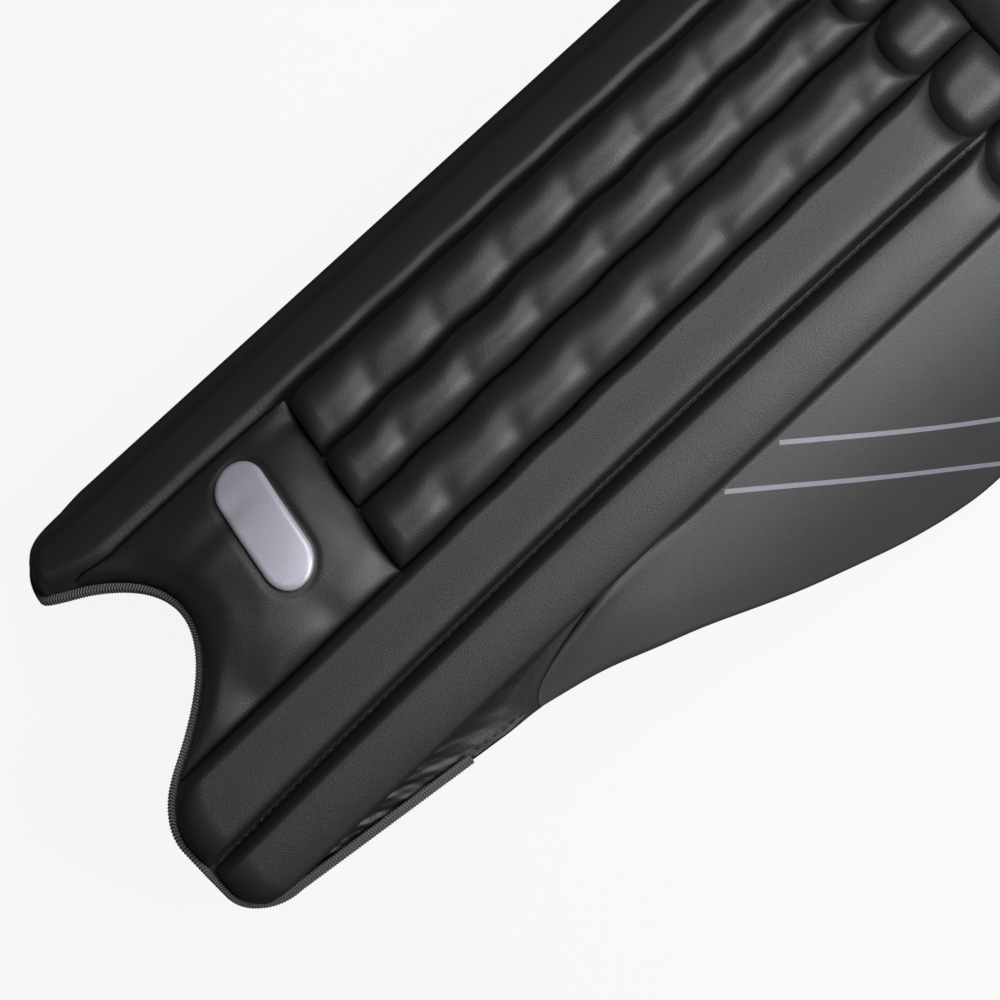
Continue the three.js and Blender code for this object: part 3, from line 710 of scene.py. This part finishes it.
# %% [markdown]
# Each roll is a tube of leather stuffed with soft foam, sewn down along both sides and pinched by cross
# stitching. Its height is a rounded arch times a fullness that dips at the dents, at its foot and under the
# lump at its head. The seams and the dents are held while the cloth swells, so they stay where they are.

# %% Quilted rolls
# Above 1, the crest of a roll leans towards its outer side.
ROLL_LEAN = {1: 1.0, 2: 1.2, 3: 1.2}
ROLL_EDGE, ROLL_POWER = 1.2, 2.1

for quilting in QUILTING:
    strip = STRIPS[quilting.roll]
    p = crowded(34)[:, None]
    start = instep_seam_y(SEAMS[quilting.roll] + p * strip.width) + GAP
    y = strip_rows(p, start)
    inner = seam_line(quilting.roll, y) + SEWN_GAP
    outer = seam_line(quilting.roll + 1, y) - SEWN_GAP
    fullness = 1 - DENT_DEPTH * quilt_dent(quilting.roll, p, y)
    fullness = fullness * head_swell(p, y, strip.width, 2.4) * (0.45 + 0.55 * rise(y - start, 9))
    leaning = p ** ROLL_LEAN[quilting.roll]
    arch = np.sqrt(1 - np.abs(2 * leaning - 1) ** ROLL_POWER)
    height = ROLL_EDGE + (strip.height - ROLL_EDGE) * arch * fullness
    s = inner + (outer - inner) * p
    seam_away = np.minimum(s - inner, outer - s)
    sewn = np.maximum(1 - smooth_step(seam_away, 0, 3), bump_at(y - lump_crease(p), 4))
    sewn = np.maximum(sewn, np.maximum(quilt_dent(quilting.roll, p, y), 1 - smooth_step(y - start, 0, 4)))
    sewn = np.maximum(sewn, 1 - smooth_step(KNEE_SEAM - y, 1, 5))
    roll = stuffed_panel(f"{strip.name}_cover", s, y, height, sewn.clip(0, 1),
                         cap=0.4, stride=(2, 3), slack=0.004)
    dress(roll, leather, [strip.name])

# %% [markdown]
# The bars are flat foam with steep soft walls. The inner one slopes off towards the pad's edge. The leather
# is stitched down along the seams, so the walls of neighbouring bars form a narrow valley with the thread at
# its bottom.

# %% Flat bars
BEVEL_SLOPE, RIDGE = 0.62, 0.5
BAR_CLEAR, INNER_BAR_CLEAR = 2.6, 2.2
BAR_EDGE, BAR_HEAD_SOFT = 0.5, 4
# Millimetres, apart from outer_share, which is the part of the height that rounds off at the outer side.
Bar = namedtuple("Bar", "strip inner_ledge inner_round outer_wall outer_round outer_share corner")
BARS = [
    Bar(0, 0, 5.0, 1.8, 4.2, 0.42, 0),
    Bar(4, 0, 5.0, 4.2, 6.0, 0.24, 0),
    Bar(5, 1.8, 4.2, 2.2, 3.6, 0.3, 6),
]

for bar in BARS:
    strip = STRIPS[bar.strip]
    p = crowded(48)[:, None]
    flat_s = SEAMS[bar.strip] + p * strip.width
    for step in range(4):
        foot = hem_y(flat_s) + INNER_BAR_CLEAR if bar.strip == 0 else hem_inside(flat_s, BAR_CLEAR)
        foot = foot + bar.corner * (1 - rise(p * strip.width, 8))
        inner, outer = seam_line(bar.strip, foot), seam_line(bar.strip + 1, foot)
        flat_s = inner + (outer - inner) * p
    y = strip_rows(p, foot)
    inner = seam_line(bar.strip, y) + (FRONT_EDGE if bar.strip == 0 else SEWN_GAP)
    outer = seam_line(bar.strip + 1, y) - SEWN_GAP
    s = inner + (outer - inner) * p
    roundness = 1 - bar.outer_share + bar.outer_share * rise(outer - s - bar.outer_wall / 2, bar.outer_round)
    shoulders = rise(s - inner - bar.inner_ledge, bar.inner_round)
    shoulders = shoulders * ramp(outer - s, bar.outer_wall) * roundness
    cushion = np.sqrt(1 - np.abs(2 * p - 1) ** 2.4)
    lumpy = smooth_step(y, lump_crease(p) - 2, lump_crease(p) + 8)
    across = shoulders * (1 - 0.08 * (2 * p - 1) ** 2) * (1 - lumpy) + cushion * lumpy
    end_round = 18 - 13 * p if bar.strip == 0 else 15
    along = (0.1 + 0.9 * rise(y - foot, end_round)) * head_swell(p, y, strip.width, BAR_HEAD_SOFT)
    height = BAR_EDGE + (strip.height - BAR_EDGE) * across * along
    if bar.strip == 0:
        slope = 1.4 + BEVEL_SLOPE * (s - inner)
        groove = 0.5 * bump_at(slope - height, 0.9) * rise(y - foot, end_round)
        height = -RIDGE * np.log(np.exp(-slope / RIDGE) + np.exp(-height / RIDGE)) - groove
        height = np.maximum(height, 0.9)
    cover = padded_panel(f"{strip.name}_cover", s, y, GAP, np.maximum(height, GAP + 0.1))
    dress(cover, leather, [strip.name])

# %% [markdown]
# The instep panel is a soft cushion that fills the space between the arch and the rolls. It is fuller along
# its outer side, where it bulges between puckers, and it is pressed down in a line round the badge, a plain
# pill of silver film. A short table of ripples puts each bulge and pucker in its place.

# %% Instep panel and badge
INSTEP_HEIGHT, INSTEP_EDGE = 10.0, 1.8
FOOT_CLEAR = 2.7
PRESS_DEPTH = 0.9
BADGE_SUNK = 0.3
BADGE = {"s": 75.0, "y": 106.0, "long": 52.0, "wide": 22.0, "thick": 1.6}
Ripple = namedtuple("Ripple", "s y lift across along")
RIPPLES = [
    Ripple(51, 140, -0.8, 4, 12),
    Ripple(114, 130, -0.9, 5, 14),
    Ripple(109, 82, 1.1, 9, 13),
    Ripple(115, 60, -0.8, 7, 7),
    Ripple(114, 102, -0.9, 8, 7),
    Ripple(116, 42, 0.7, 6, 9),
    Ripple(64, 92, -0.8, 4, 16),
    Ripple(72, 78, 0.6, 4, 12),
]


def badge_away(s, y):
    """Distance from the outline of the pill, negative inside it."""
    along = s - BADGE["s"]
    across = y - BADGE["y"] - (instep_seam_y(s) - instep_seam_y(BADGE["s"]))
    spine = BADGE["long"] / 2 - BADGE["wide"] / 2
    return np.hypot(np.maximum(np.abs(along) - spine, 0), across) - BADGE["wide"] / 2


def instep_height(s, y):
    """Upper height of the cushion before it swells."""
    left = seam_line(1, y)
    across = np.clip((s - left) / (CREST_SEAM - left), 0, 1)
    foot = hem_inside(s, FOOT_CLEAR)
    along = np.clip((y - foot) / (instep_seam_y(s) - foot), 0, 1)
    height = INSTEP_EDGE + INSTEP_HEIGHT * crown(across, 3) * crown(along, 2.6)
    height = height + 5 * np.exp(-across / 0.07) * rise(along, 0.04)
    for ripple in RIPPLES:
        height = height + ripple.lift * np.exp(-((s - ripple.s) / ripple.across) ** 2
                                               - ((y - ripple.y) / ripple.along) ** 2)
    return np.maximum(height, 1.6)


p, q = grid(crowded(90), crowded(120))
s = INSTEP_LEFT + (CREST_SEAM - INSTEP_LEFT) * p
for step in range(4):
    foot = hem_inside(s, FOOT_CLEAR)
    y = foot + (instep_seam_y(s) - GAP - foot) * q
    left = seam_line(1, y) + GAP / 2
    s = left + (CREST_SEAM - GAP / 2 - left) * p
pressed = PRESS_DEPTH * bump_at(badge_away(s, y) - 0.8, 1.3)
height = np.maximum(instep_height(s, y) - pressed, 1.2)
rim_away = np.minimum(np.minimum(p, 1 - p) * (CREST_SEAM - INSTEP_LEFT), np.minimum(q, 1 - q) * 90)
sewn = np.maximum(1 - smooth_step(rim_away, 0, 4), 1 - smooth_step(badge_away(s, y), 0, 5))
instep = stuffed_panel("instep_cushion", s, y, height, sewn, cap=0.6, stride=(4, 4), slack=0.006)
dress(instep, leather, ["instep_panel"])

off, q = grid((crowded(70) - 0.5) * (BADGE["long"] - 0.2), crowded(36))
past = np.maximum(np.abs(off) - (BADGE["long"] - BADGE["wide"]) / 2, 0)
half = np.sqrt(np.maximum((BADGE["wide"] / 2) ** 2 - past ** 2, 0.01))
s = BADGE["s"] + off
y = BADGE["y"] + instep_seam_y(s) - instep_seam_y(BADGE["s"]) + (2 * q - 1) * half
base = instep_height(s, y)
badge_high = base + GAP + 0.1 + (BADGE["thick"] - 0.1) * rise(-badge_away(s, y), 2.2)
badge = padded_panel("instep_plate", s, y, base - BADGE_SUNK, badge_high)
dress(badge, silver, ["instep_badge"])

# %% [markdown]
# Above the strips lie three cross bolsters for the knee and a fluted flap. They are stuffed like the rolls
# and stay plain, with soft gathers where the seams of the bolsters pull the leather.

# %% Knee bolsters and top flap
BOLSTER_HEIGHT, TOP_HEIGHT, FLUTES = 17.0, 10.0, 3
GATHER_PITCH, GATHER_REACH = 11.0, 0.22
BOLSTER_EDGE, FLAP_EDGE = 2, 1.6
for k in range(BOLSTERS):
    s, q = grid(FRONT_EDGE + (OUTER_SEAM - GAP - FRONT_EDGE) * crowded(130), crowded(48))
    across = (s - FRONT_EDGE) / (OUTER_SEAM - GAP - FRONT_EDGE)
    start = KNEE_SEAM + k * BOLSTER + GAP / 2
    near_seams = bump_at(q, GATHER_REACH) + bump_at(1 - q, GATHER_REACH)
    gathers = 0.5 * np.sin(2 * np.pi * s / GATHER_PITCH + 1.7 * k) * near_seams
    stuffing = (BOLSTER_HEIGHT - BOLSTER_EDGE) * crown(across, 12) * crown(q, 2.4)
    height = BOLSTER_EDGE + stuffing + gathers * crown(q, 2.4)
    y = start + (BOLSTER - GAP) * q
    rim_away = np.minimum(np.minimum(q, 1 - q) * BOLSTER, np.minimum(across, 1 - across) * OUTER_SEAM)
    sewn = 1 - smooth_step(rim_away, 0, 3)
    bolster = stuffed_panel(f"knee_bolster_{k + 1}_cover", s, y, height, sewn,
                            cap=1.5, stride=(2, 2), slack=0.03)
    dress(bolster, leather, [f"knee_bolster_{k + 1}"])

flute_shares = [k / FLUTES + crowded(30) / FLUTES for k in range(FLUTES)]
p, q = grid(np.unique(np.concatenate(flute_shares)), crowded(90))
s = FRONT_EDGE + (OUTER_SEAM - GAP - FRONT_EDGE) * p
y = TOP_SEAM + GAP / 2 + (top_edge(s) - 1 - TOP_SEAM - GAP / 2) * q
flute = 0.62 + 0.38 * crown((p * FLUTES) % 1, 3)
height = FLAP_EDGE + (TOP_HEIGHT - FLAP_EDGE) * flute * crown(p, 10) * crown(q, 6)
flute_away = np.abs((p * FLUTES + 0.5) % 1 - 0.5) * OUTER_SEAM / FLUTES
sewn = np.maximum(1 - smooth_step(flute_away, 0, 3), 1 - smooth_step(np.minimum(q, 1 - q), 0, 0.04))
top_flap = stuffed_panel("top_flap", s, y, height, sewn, cap=1.5, stride=(2, 2), slack=0.03)
dress(top_flap, leather, ["top_panel"])

# %% [markdown]
# The wing is a broad soft flap that wraps the outer side of the calf. Its free edge thins out and turns down.
# Its outline is a short table of widths, smoothed so that no corner shows.

# %% Calf wing
WING = [(137, 23), (165, 30.5), (205, 47.5), (244, 69), (285, 88), (305, 95), (325, 99.5), (345, 98.5),
        (370, 92), (395, 80), (420, 60), (441, 34), (453, 14)]
WING_PAD, WING_SLANT, WING_FOLD, WING_GROOVE = 7.0, 58.0, 3.6, 4.6
WING_SMOOTH, WING_END = 9, 12
WING_SLANT_POWER = 2.2
wing_y, wing_width = np.array(WING, float).T


def smooth_wing_width(y):
    """The table's width at y, averaged over a short stretch."""
    shifts = np.linspace(-WING_SMOOTH, WING_SMOOTH, 13)
    room = np.minimum(np.minimum(y - wing_y[0], wing_y[-1] - y) / WING_SMOOTH, 1)
    return np.mean([np.interp(y + shift * room, wing_y, wing_width) for shift in shifts], axis=0)


def wing_height(s, row):
    """Upper height of the wing: a groove, a rounded inner edge, a nearly flat field and a thin rim."""
    inner = OUTER_SEAM + 1.2 + 2.2 * smooth_step(row, 150, 220)
    rim = OUTER_SEAM + smooth_wing_width(row) - s
    ends = rise(row - wing_y[0], WING_END) * rise(wing_y[-1] - row, WING_END)
    fold = WING_FOLD * ramp(s - inner, 6) * np.exp(-(row - wing_y[0]) / 30) * smooth_step(rim, 4, 22)
    groove = WING_GROOVE * (1 - ramp(s - inner, 2.8)) * smooth_step(row, 150, 210)
    pad = (WING_PAD - 0.5) * ramp(s - inner, 60) * smooth_step(row, wing_y[0] - 4, wing_y[0] + 55)
    return -1.35 + (fold + pad) * rise(rim, 5) * ends - groove


p, row = grid(crowded(80), wing_y[0] + (wing_y[-1] - wing_y[0]) * crowded(200))
s = OUTER_SEAM + GAP + (smooth_wing_width(row) - GAP) * p
y = row + (1 - p) ** WING_SLANT_POWER * WING_SLANT * (1 - smooth_step(row, wing_y[0], wing_y[0] + 130))
wing_low = -1.7 + (3 * p ** 4 - BACKING + 1.7) * smooth_step(row, wing_y[0] + 5, wing_y[0] + 12)
wing = padded_panel("calf_wing_cover", s, y, wing_low, np.maximum(wing_height(s, row), wing_low + 0.1))
dress(wing, painted_light_leather, ["calf_wing"])

# %% [markdown]
# Two thin silver stripes are printed on the wing. Ink has almost no thickness, so each stripe is a narrow
# strip of mesh that follows the wing less than a tenth of a millimetre above it.

# %% Printed stripes
Stripe = namedtuple("Stripe", "s0 y0 s1 y1 bow")
STRIPES = [Stripe(187.4, 245.5, 269.9, 336.5, 1.6), Stripe(188.1, 274.0, 267.5, 365.0, 0.7)]
STRIPE_WIDTH, STRIPE_LOW, STRIPE_HIGH = 2.0, 0.02, 0.08


def tube_faces(steps, count):
    """Faces of a tube of rings with count points each, capped at both ends."""
    index = np.arange(steps * count).reshape(steps, count)
    following = np.roll(index, -1, axis=1)
    sides = np.stack([index[:-1], following[:-1], following[1:], index[1:]], -1).reshape(-1, 4)
    return sides.tolist() + [index[0, ::-1].tolist(), index[-1].tolist()]


def swept(name, rings):
    """A closed tube from rings of points."""
    return grid_object(name, rings.reshape(-1, 3), tube_faces(*rings.shape[:2]))


for k, stripe in enumerate(STRIPES):
    run = np.linspace(0, 1, 120)[:, None]
    direction = np.array([stripe.s1 - stripe.s0, stripe.y1 - stripe.y0])
    normal = np.array([-direction[1], direction[0]]) / np.hypot(*direction)
    corners = [(0.5, STRIPE_LOW), (-0.5, STRIPE_LOW), (-0.5, STRIPE_HIGH), (0.5, STRIPE_HIGH)]
    rings = []
    for sideways, lift in corners:
        offset = sideways * STRIPE_WIDTH + stripe.bow * 4 * run * (1 - run)
        s = stripe.s0 + direction[0] * run + normal[0] * offset
        y = stripe.y0 + direction[1] * run + normal[1] * offset
        rings.append(place(s, y, wing_height(s, y) + lift))
    line = swept(f"wing_stripe_{k + 1}", np.concatenate(rings, axis=1))
    dress(line, shaded_silver_ink)

# %% [markdown]
# The gusset is a sliver of thin leather between the outer bar and the bound edge. It is gathered, so it has
# slanted wrinkles that fade upwards, and above the end of the tape its edge is folded over and sewn. Its
# upper end tucks in under the wing.

# %% Side gusset
Wrinkle = namedtuple("Wrinkle", "pitch lean depth phase")
WRINKLES = [Wrinkle(14, -1.5, 0.3, 0), Wrinkle(8.3, -2.2, 0.15, 1.1), Wrinkle(5.1, -0.8, 0.07, 2.3)]

p, level = grid(crowded(30), np.linspace(OUTER_LOBE + 5, wing_y[0] + 4, 260))
s = OUTER_SEAM + GAP + (side_edge(level) - OUTER_SEAM - GAP) * p
y = level + (1 - p) ** WING_SLANT_POWER * WING_SLANT * smooth_step(level, 75, wing_y[0] - 2)
folds = 0
for wrinkle in WRINKLES:
    turn = 2 * np.pi * (y + wrinkle.lean * (s - OUTER_SEAM)) / wrinkle.pitch + wrinkle.phase
    folds = folds + wrinkle.depth * np.sin(turn)
fade = 1 - 0.6 * smooth_step(y, 80, 120)
turned = 1.1 * bump_at((side_edge(level) - s) - 1.4, 1.2) * smooth_step(y, 100, 106)
tucked = smooth_step(level, wing_y[0] - 18, wing_y[0] - 3)
sag = (1.0 + 1.6 * smooth_step(level, 80, 120)) * np.sin(np.pi * p) * (1 - tucked)
height = -1.2 + (folds * crown(p, 4) * fade + turned) * (1 - tucked) - sag * crown(p, 4) - 0.6 * tucked
gusset = padded_panel("side_gusset_cover", s, y, -BACKING + (BACKING - 2.6) * p ** 2, height)
dress(gusset, leather, ["side_gusset"])

# %% [markdown]
# The hem is bound with ribbed grosgrain tape, folded over the edge. Its ribs run across the tape about 1.2 mm
# apart. They are part of the mesh: the section is swept along the hem in fine steps and swells at each rib.

# %% Hem tape
RIB_PITCH, RIB_DEPTH, RIB_LEAN = 1.2, 0.4, 0.3
TAPE_THICK, TAPE_SLACK = 0.65, 0.15


def rib_colours(piece, values):
    """Stores the rib number at every point of a piece."""
    layer = piece.data.attributes.new("rib", "FLOAT", "POINT")
    layer.data.foreach_set("value", values.astype(np.float32).ravel())


def along_line(distance, travelled, line):
    """Points of a line at distances along it."""
    return np.stack([np.interp(distance, travelled, column) for column in line.T], axis=1)


travelled = np.concatenate([[0], np.cumsum(hem_steps)])
# The first points of the hem go round the inner corner, where the tape starts.
CORNER_POINTS = 80
tape_from = np.interp(TAPE_START, hem_line[:CORNER_POINTS, 0], travelled[:CORNER_POINTS])
run = np.arange(tape_from, travelled[-1], RIB_PITCH / 7)
centre, ahead, behind = (along_line(run + step, travelled, hem_line) for step in (0, 1.5, -1.5))
heading = (ahead - behind) / np.linalg.norm(ahead - behind, axis=1)[:, None]
reach = 2.0 + 2.0 * smooth_step(centre[:, 0], 165, 187)

middle = -HEM_THICK / 2
half_in = HEM_THICK / 2 + TAPE_SLACK
half_out = half_in + TAPE_THICK
edge_out = TAPE_SLACK + TAPE_THICK
fold = np.radians(np.linspace(90, 270, 11))
outside = [(1.0, 0.0, half_out - 0.5), (0.9, 0.0, half_out), (0.45, 0.0, half_out)]
outside += [(0.0, edge_out * math.cos(a), half_out * math.sin(a)) for a in fold]
outside += [(0.45, 0.0, -half_out), (0.9, 0.0, -half_out), (1.0, 0.0, 0.5 - half_out)]
inside = [(1.0, 0.0, -half_in), (0.0, -TAPE_SLACK, -half_in)]
inside += [(0.0, -TAPE_SLACK, half_in), (1.0, 0.0, half_in)]
rings, ribs = [], []
for share, out, height in outside + inside:
    leaning = run - RIB_LEAN * (share * reach + out)
    rib = (0.5 + 0.5 * np.cos(2 * np.pi * leaning / RIB_PITCH)) * smooth_step(centre[:, 0], 20, 34)
    swell = RIB_DEPTH * (rib - 0.5) if (share, out, height) in outside else 0 * rib
    into = share * reach + out * (1 + swell / edge_out)
    lift = middle + height * (1 + swell / half_out)
    rings.append(place(centre[:, 0] - heading[:, 1] * into, centre[:, 1] + heading[:, 0] * into, lift))
    ribs.append(rib ** 1.6)
tape = swept("hem_tape", np.stack(rings, axis=1))
rib_colours(tape, np.stack(ribs, axis=1))
dress(tape, grosgrain, ["hem_binding"])
print("tape length:", round(run[-1] - run[0], 1), "mm")

# %% [markdown]
# The straps are flat nylon webbing, sewn inside the flank, led along the floor behind the leg and sewn inside
# the wing or the backing. Webbing is thin and stiff, so it is modelled directly, with fine ribs across it.

# %% Straps behind the leg
StrapRun = namedtuple("StrapRun", "name y width reach")
STRAPS = [
    StrapRun("ankle_strap", 92, 26, 2),
    StrapRun("calf_strap", 268, 32, 66),
    StrapRun("knee_strap", KNEE_STRAP_Y, 32, 66),
]
STRAP_TAB, STRAP_TURN = 24.0, 5.0
STRAP_RIB, STRAP_RIB_DEPTH = 2.0, 0.12


def strap_line(y, reach):
    """The middle line of a strap in x and z."""
    clear = -BACKING - GAP - STRAP / 2

    def inside(s):
        return place(s, y, clear)[[0, 2]]

    left, right = inside(-FLANK_ROUND), inside(OUTER_SEAM + reach)
    slope = right - inside(OUTER_SEAM + reach - 2)
    slope = slope / np.hypot(*slope)
    swing = max(right[1] * 0.6, 8)
    floor = STRAP / 2
    turn = np.radians(np.linspace(180, 270, 16))
    corner = np.array([left[0] + STRAP_TURN, floor + STRAP_TURN])
    bend = corner + STRAP_TURN * np.stack([np.cos(turn), np.sin(turn)], axis=1)
    start = np.array([right[0] - STRAP_TURN, floor])
    pull_a, pull_b = start + [swing, 0], right + slope * swing * 0.5
    t = np.linspace(0, 1, 50)[:, None]
    loop = ((1 - t) ** 3 * start + 3 * t * (1 - t) ** 2 * pull_a
            + 3 * t * t * (1 - t) * pull_b + t ** 3 * right)
    tab = [inside(OUTER_SEAM + reach - back) for back in np.linspace(1, STRAP_TAB, 12)]
    return np.concatenate([[left], bend, loop, tab])


for strap in STRAPS:
    line = strap_line(strap.y, strap.reach)
    travelled = np.concatenate([[0], np.cumsum(np.hypot(*np.diff(line, axis=0).T))])
    run = np.linspace(0, travelled[-1], int(travelled[-1] / STRAP_RIB * 6))
    x, z = along_line(run, travelled, line).T
    heading = np.stack([np.gradient(x), np.gradient(z)], axis=1)
    heading /= np.linalg.norm(heading, axis=1)[:, None]
    rib = 0.5 + 0.5 * np.cos(2 * np.pi * run / STRAP_RIB)
    thick = STRAP / 2 - STRAP_RIB_DEPTH + STRAP_RIB_DEPTH * rib
    rings = []
    profile = [(-0.5, 0.5), (-0.47, 1.0), (-0.2, 1.0), (0.2, 1.0), (0.47, 1.0), (0.5, 0.5)]
    profile += [(sideways, -up) for sideways, up in reversed(profile)]
    for sideways, up in profile:
        rings.append(np.stack([x - heading[:, 1] * up * thick, 0 * x + strap.y + sideways * strap.width,
                               z + heading[:, 0] * up * thick], axis=1))
    webbing_strap = swept(f"{strap.name}_webbing", np.stack(rings, axis=1)[:, ::-1])
    rib_colours(webbing_strap, np.repeat(rib[:, None], len(profile), axis=1))
    dress(webbing_strap, webbing, [strap.name])
    print(strap.name, "length", round(travelled[-1], 1), "mm")

# %% [markdown]
# The seams are sewn with black nylon thread. A stitch is a short arched sausage that dips into the leather at
# both ends. Each seam's stitches are one mesh, so a long row stays light.

# %% Stitches
THREAD = 0.45
STITCH, STITCH_PITCH = 3.2, 4.2


def stitch_row(name, s, y, height, side=1.0):
    """Stitches along a line over the sheet; side is -1 for the back."""
    line = place(s, y, height)
    above = place(s, y, height + side) - line
    travelled = np.concatenate([[0], np.cumsum(np.linalg.norm(np.diff(line, axis=0), axis=1))])
    starts = np.arange(0, travelled[-1] - STITCH, STITCH_PITCH)
    ring = np.radians(np.arange(0, 360, 60))
    share = np.array([0.0, 0.12, 0.35, 0.65, 0.88, 1.0])
    thickness = THREAD / 2 * np.array([0.35, 0.85, 1.0, 1.0, 0.85, 0.35])
    arch = THREAD * (0.55 - 1.6 * (share - 0.5) ** 2 * 2)
    tube = tube_faces(len(share), len(ring))
    points, faces = [], []
    for start in starts:
        where = start + share * STITCH
        spots = along_line(where, travelled, line)
        normal = along_line(where, travelled, above)
        normal /= np.linalg.norm(normal, axis=1)[:, None]
        across = np.cross(np.gradient(spots, axis=0), normal)
        across /= np.linalg.norm(across, axis=1)[:, None]
        first = len(points) * len(ring)
        sunk = THREAD * (0.4 + 0.4 * math.sin(2.4 * start))
        for k in range(len(share)):
            points.append(spots[k] + normal[k] * (arch[k] - sunk) + thickness[k] * (
                np.cos(ring)[:, None] * across[k] + np.sin(ring)[:, None] * normal[k]))
        faces += [[first + corner for corner in face] for face in tube]
    row = grid_object(name, np.concatenate(points), faces)
    return dress(row, thread)


up_seam = np.linspace(14, LUMP_CREASE + 2, 400)
stitch_row("channel_stitches", seam_line(5, up_seam) + 1.1, up_seam, 0.9)
for seam in (2, 3, 4):
    quilted = np.linspace(150, LUMP_CREASE, 300)
    stitch_row(f"roll_seam_{seam}_stitches", seam_line(seam, quilted), quilted, 0.6)
turned_edge = np.linspace(107, wing_y[0] - 2, 60)
stitch_row("turned_edge_stitches", side_edge(turned_edge) - 3.2, turned_edge, -0.9)
cross_seam = np.linspace(INSTEP_LEFT + 2, CREST_SEAM - 2, 120)
stitch_row("instep_seam_stitches", cross_seam, instep_seam_y(cross_seam), 1.5)

# %% [markdown]
# A plain pale floor, a soft key light from the upper outer side, a weaker fill from the inner side and a very
# weak sky. The floor glows, as a light table does, so that it stays near white round a black object, and it
# neither lights the pad nor mirrors in it.

# %% Floor and light
FLOOR_HALF, FLOOR_DROP = 40.0, 0.0003
SKY_STRENGTH = 0.05
corners = [(-1, -1), (1, -1), (1, 1), (-1, 1)]
floor_points = [(x * FLOOR_HALF, y * FLOOR_HALF, -FLOOR_DROP) for x, y in corners]
floor_mesh = bpy.data.meshes.new("floor")
floor_mesh.from_pydata(floor_points, [], [(0, 1, 2, 3)])
floor = bpy.data.objects.new("floor", floor_mesh)
bpy.context.scene.collection.objects.link(floor)
paper, tree = new_material("pale_paper")
shader = add_node(tree, "ShaderNodeBsdfPrincipled", Base_Color=linear("#202020"), Roughness=0.9,
                  Emission_Color=linear("#ffffff"), Emission_Strength=0.9)
add_node(tree, "ShaderNodeOutputMaterial", {"Surface": shader.outputs["BSDF"]})
floor.data.materials.append(paper)
floor.visible_diffuse = False
floor.visible_glossy = False


def softbox(name, location, target, size, power):
    lamp = bpy.data.lights.new(name, "AREA")
    lamp.shape = "RECTANGLE"
    lamp.size, lamp.size_y = size
    lamp.energy = power
    holder = bpy.data.objects.new(name, lamp)
    bpy.context.scene.collection.objects.link(holder)
    holder.location = location
    aim = np.array(target) - np.array(location)
    holder.rotation_mode = "QUATERNION"
    holder.rotation_quaternion = Vector(aim).to_track_quat("-Z", "Y")
    return holder


softbox("key_softbox", (0.65, 0.42, 0.98), (0.0, -0.1, 0.05), (0.7, 0.5), 18)
softbox("fill_softbox", (-0.35, 0.3, 1.2), (0.0, 0.0, 0.05), (0.6, 0.8), 11)
world = bpy.data.worlds.new("studio")
bpy.context.scene.world = world
world.use_nodes = True
world.node_tree.nodes["Background"].inputs["Color"].default_value = linear("#ffffff")
world.node_tree.nodes["Background"].inputs["Strength"].default_value = SKY_STRENGTH
bpy.context.scene.view_settings.view_transform = "Standard"
print("lights:", [light.name for light in bpy.data.lights])

# %% [markdown]
# The view is from straight above, with a long lens, over the lower part of the pad. The pad's length runs to
# the upper right of the picture.

# %% Camera
CAMERA_SPOT = (-4.2 * MM, -175.8 * MM, 1600 * MM)
FOCAL_SHARE = 3.9868
CAMERA_TURN = math.degrees(math.atan2(0.7396, 0.673))
camera_data = bpy.data.cameras.new("camera")
camera_data.sensor_width = 36
camera_data.lens = FOCAL_SHARE * camera_data.sensor_width
camera = bpy.data.objects.new("camera", camera_data)
bpy.context.scene.collection.objects.link(camera)
camera.location = CAMERA_SPOT
camera.rotation_euler = (0, 0, math.radians(CAMERA_TURN))
bpy.context.scene.camera = camera
print("lens:", round(camera_data.lens, 1), "mm, turned", round(CAMERA_TURN, 1), "degrees")
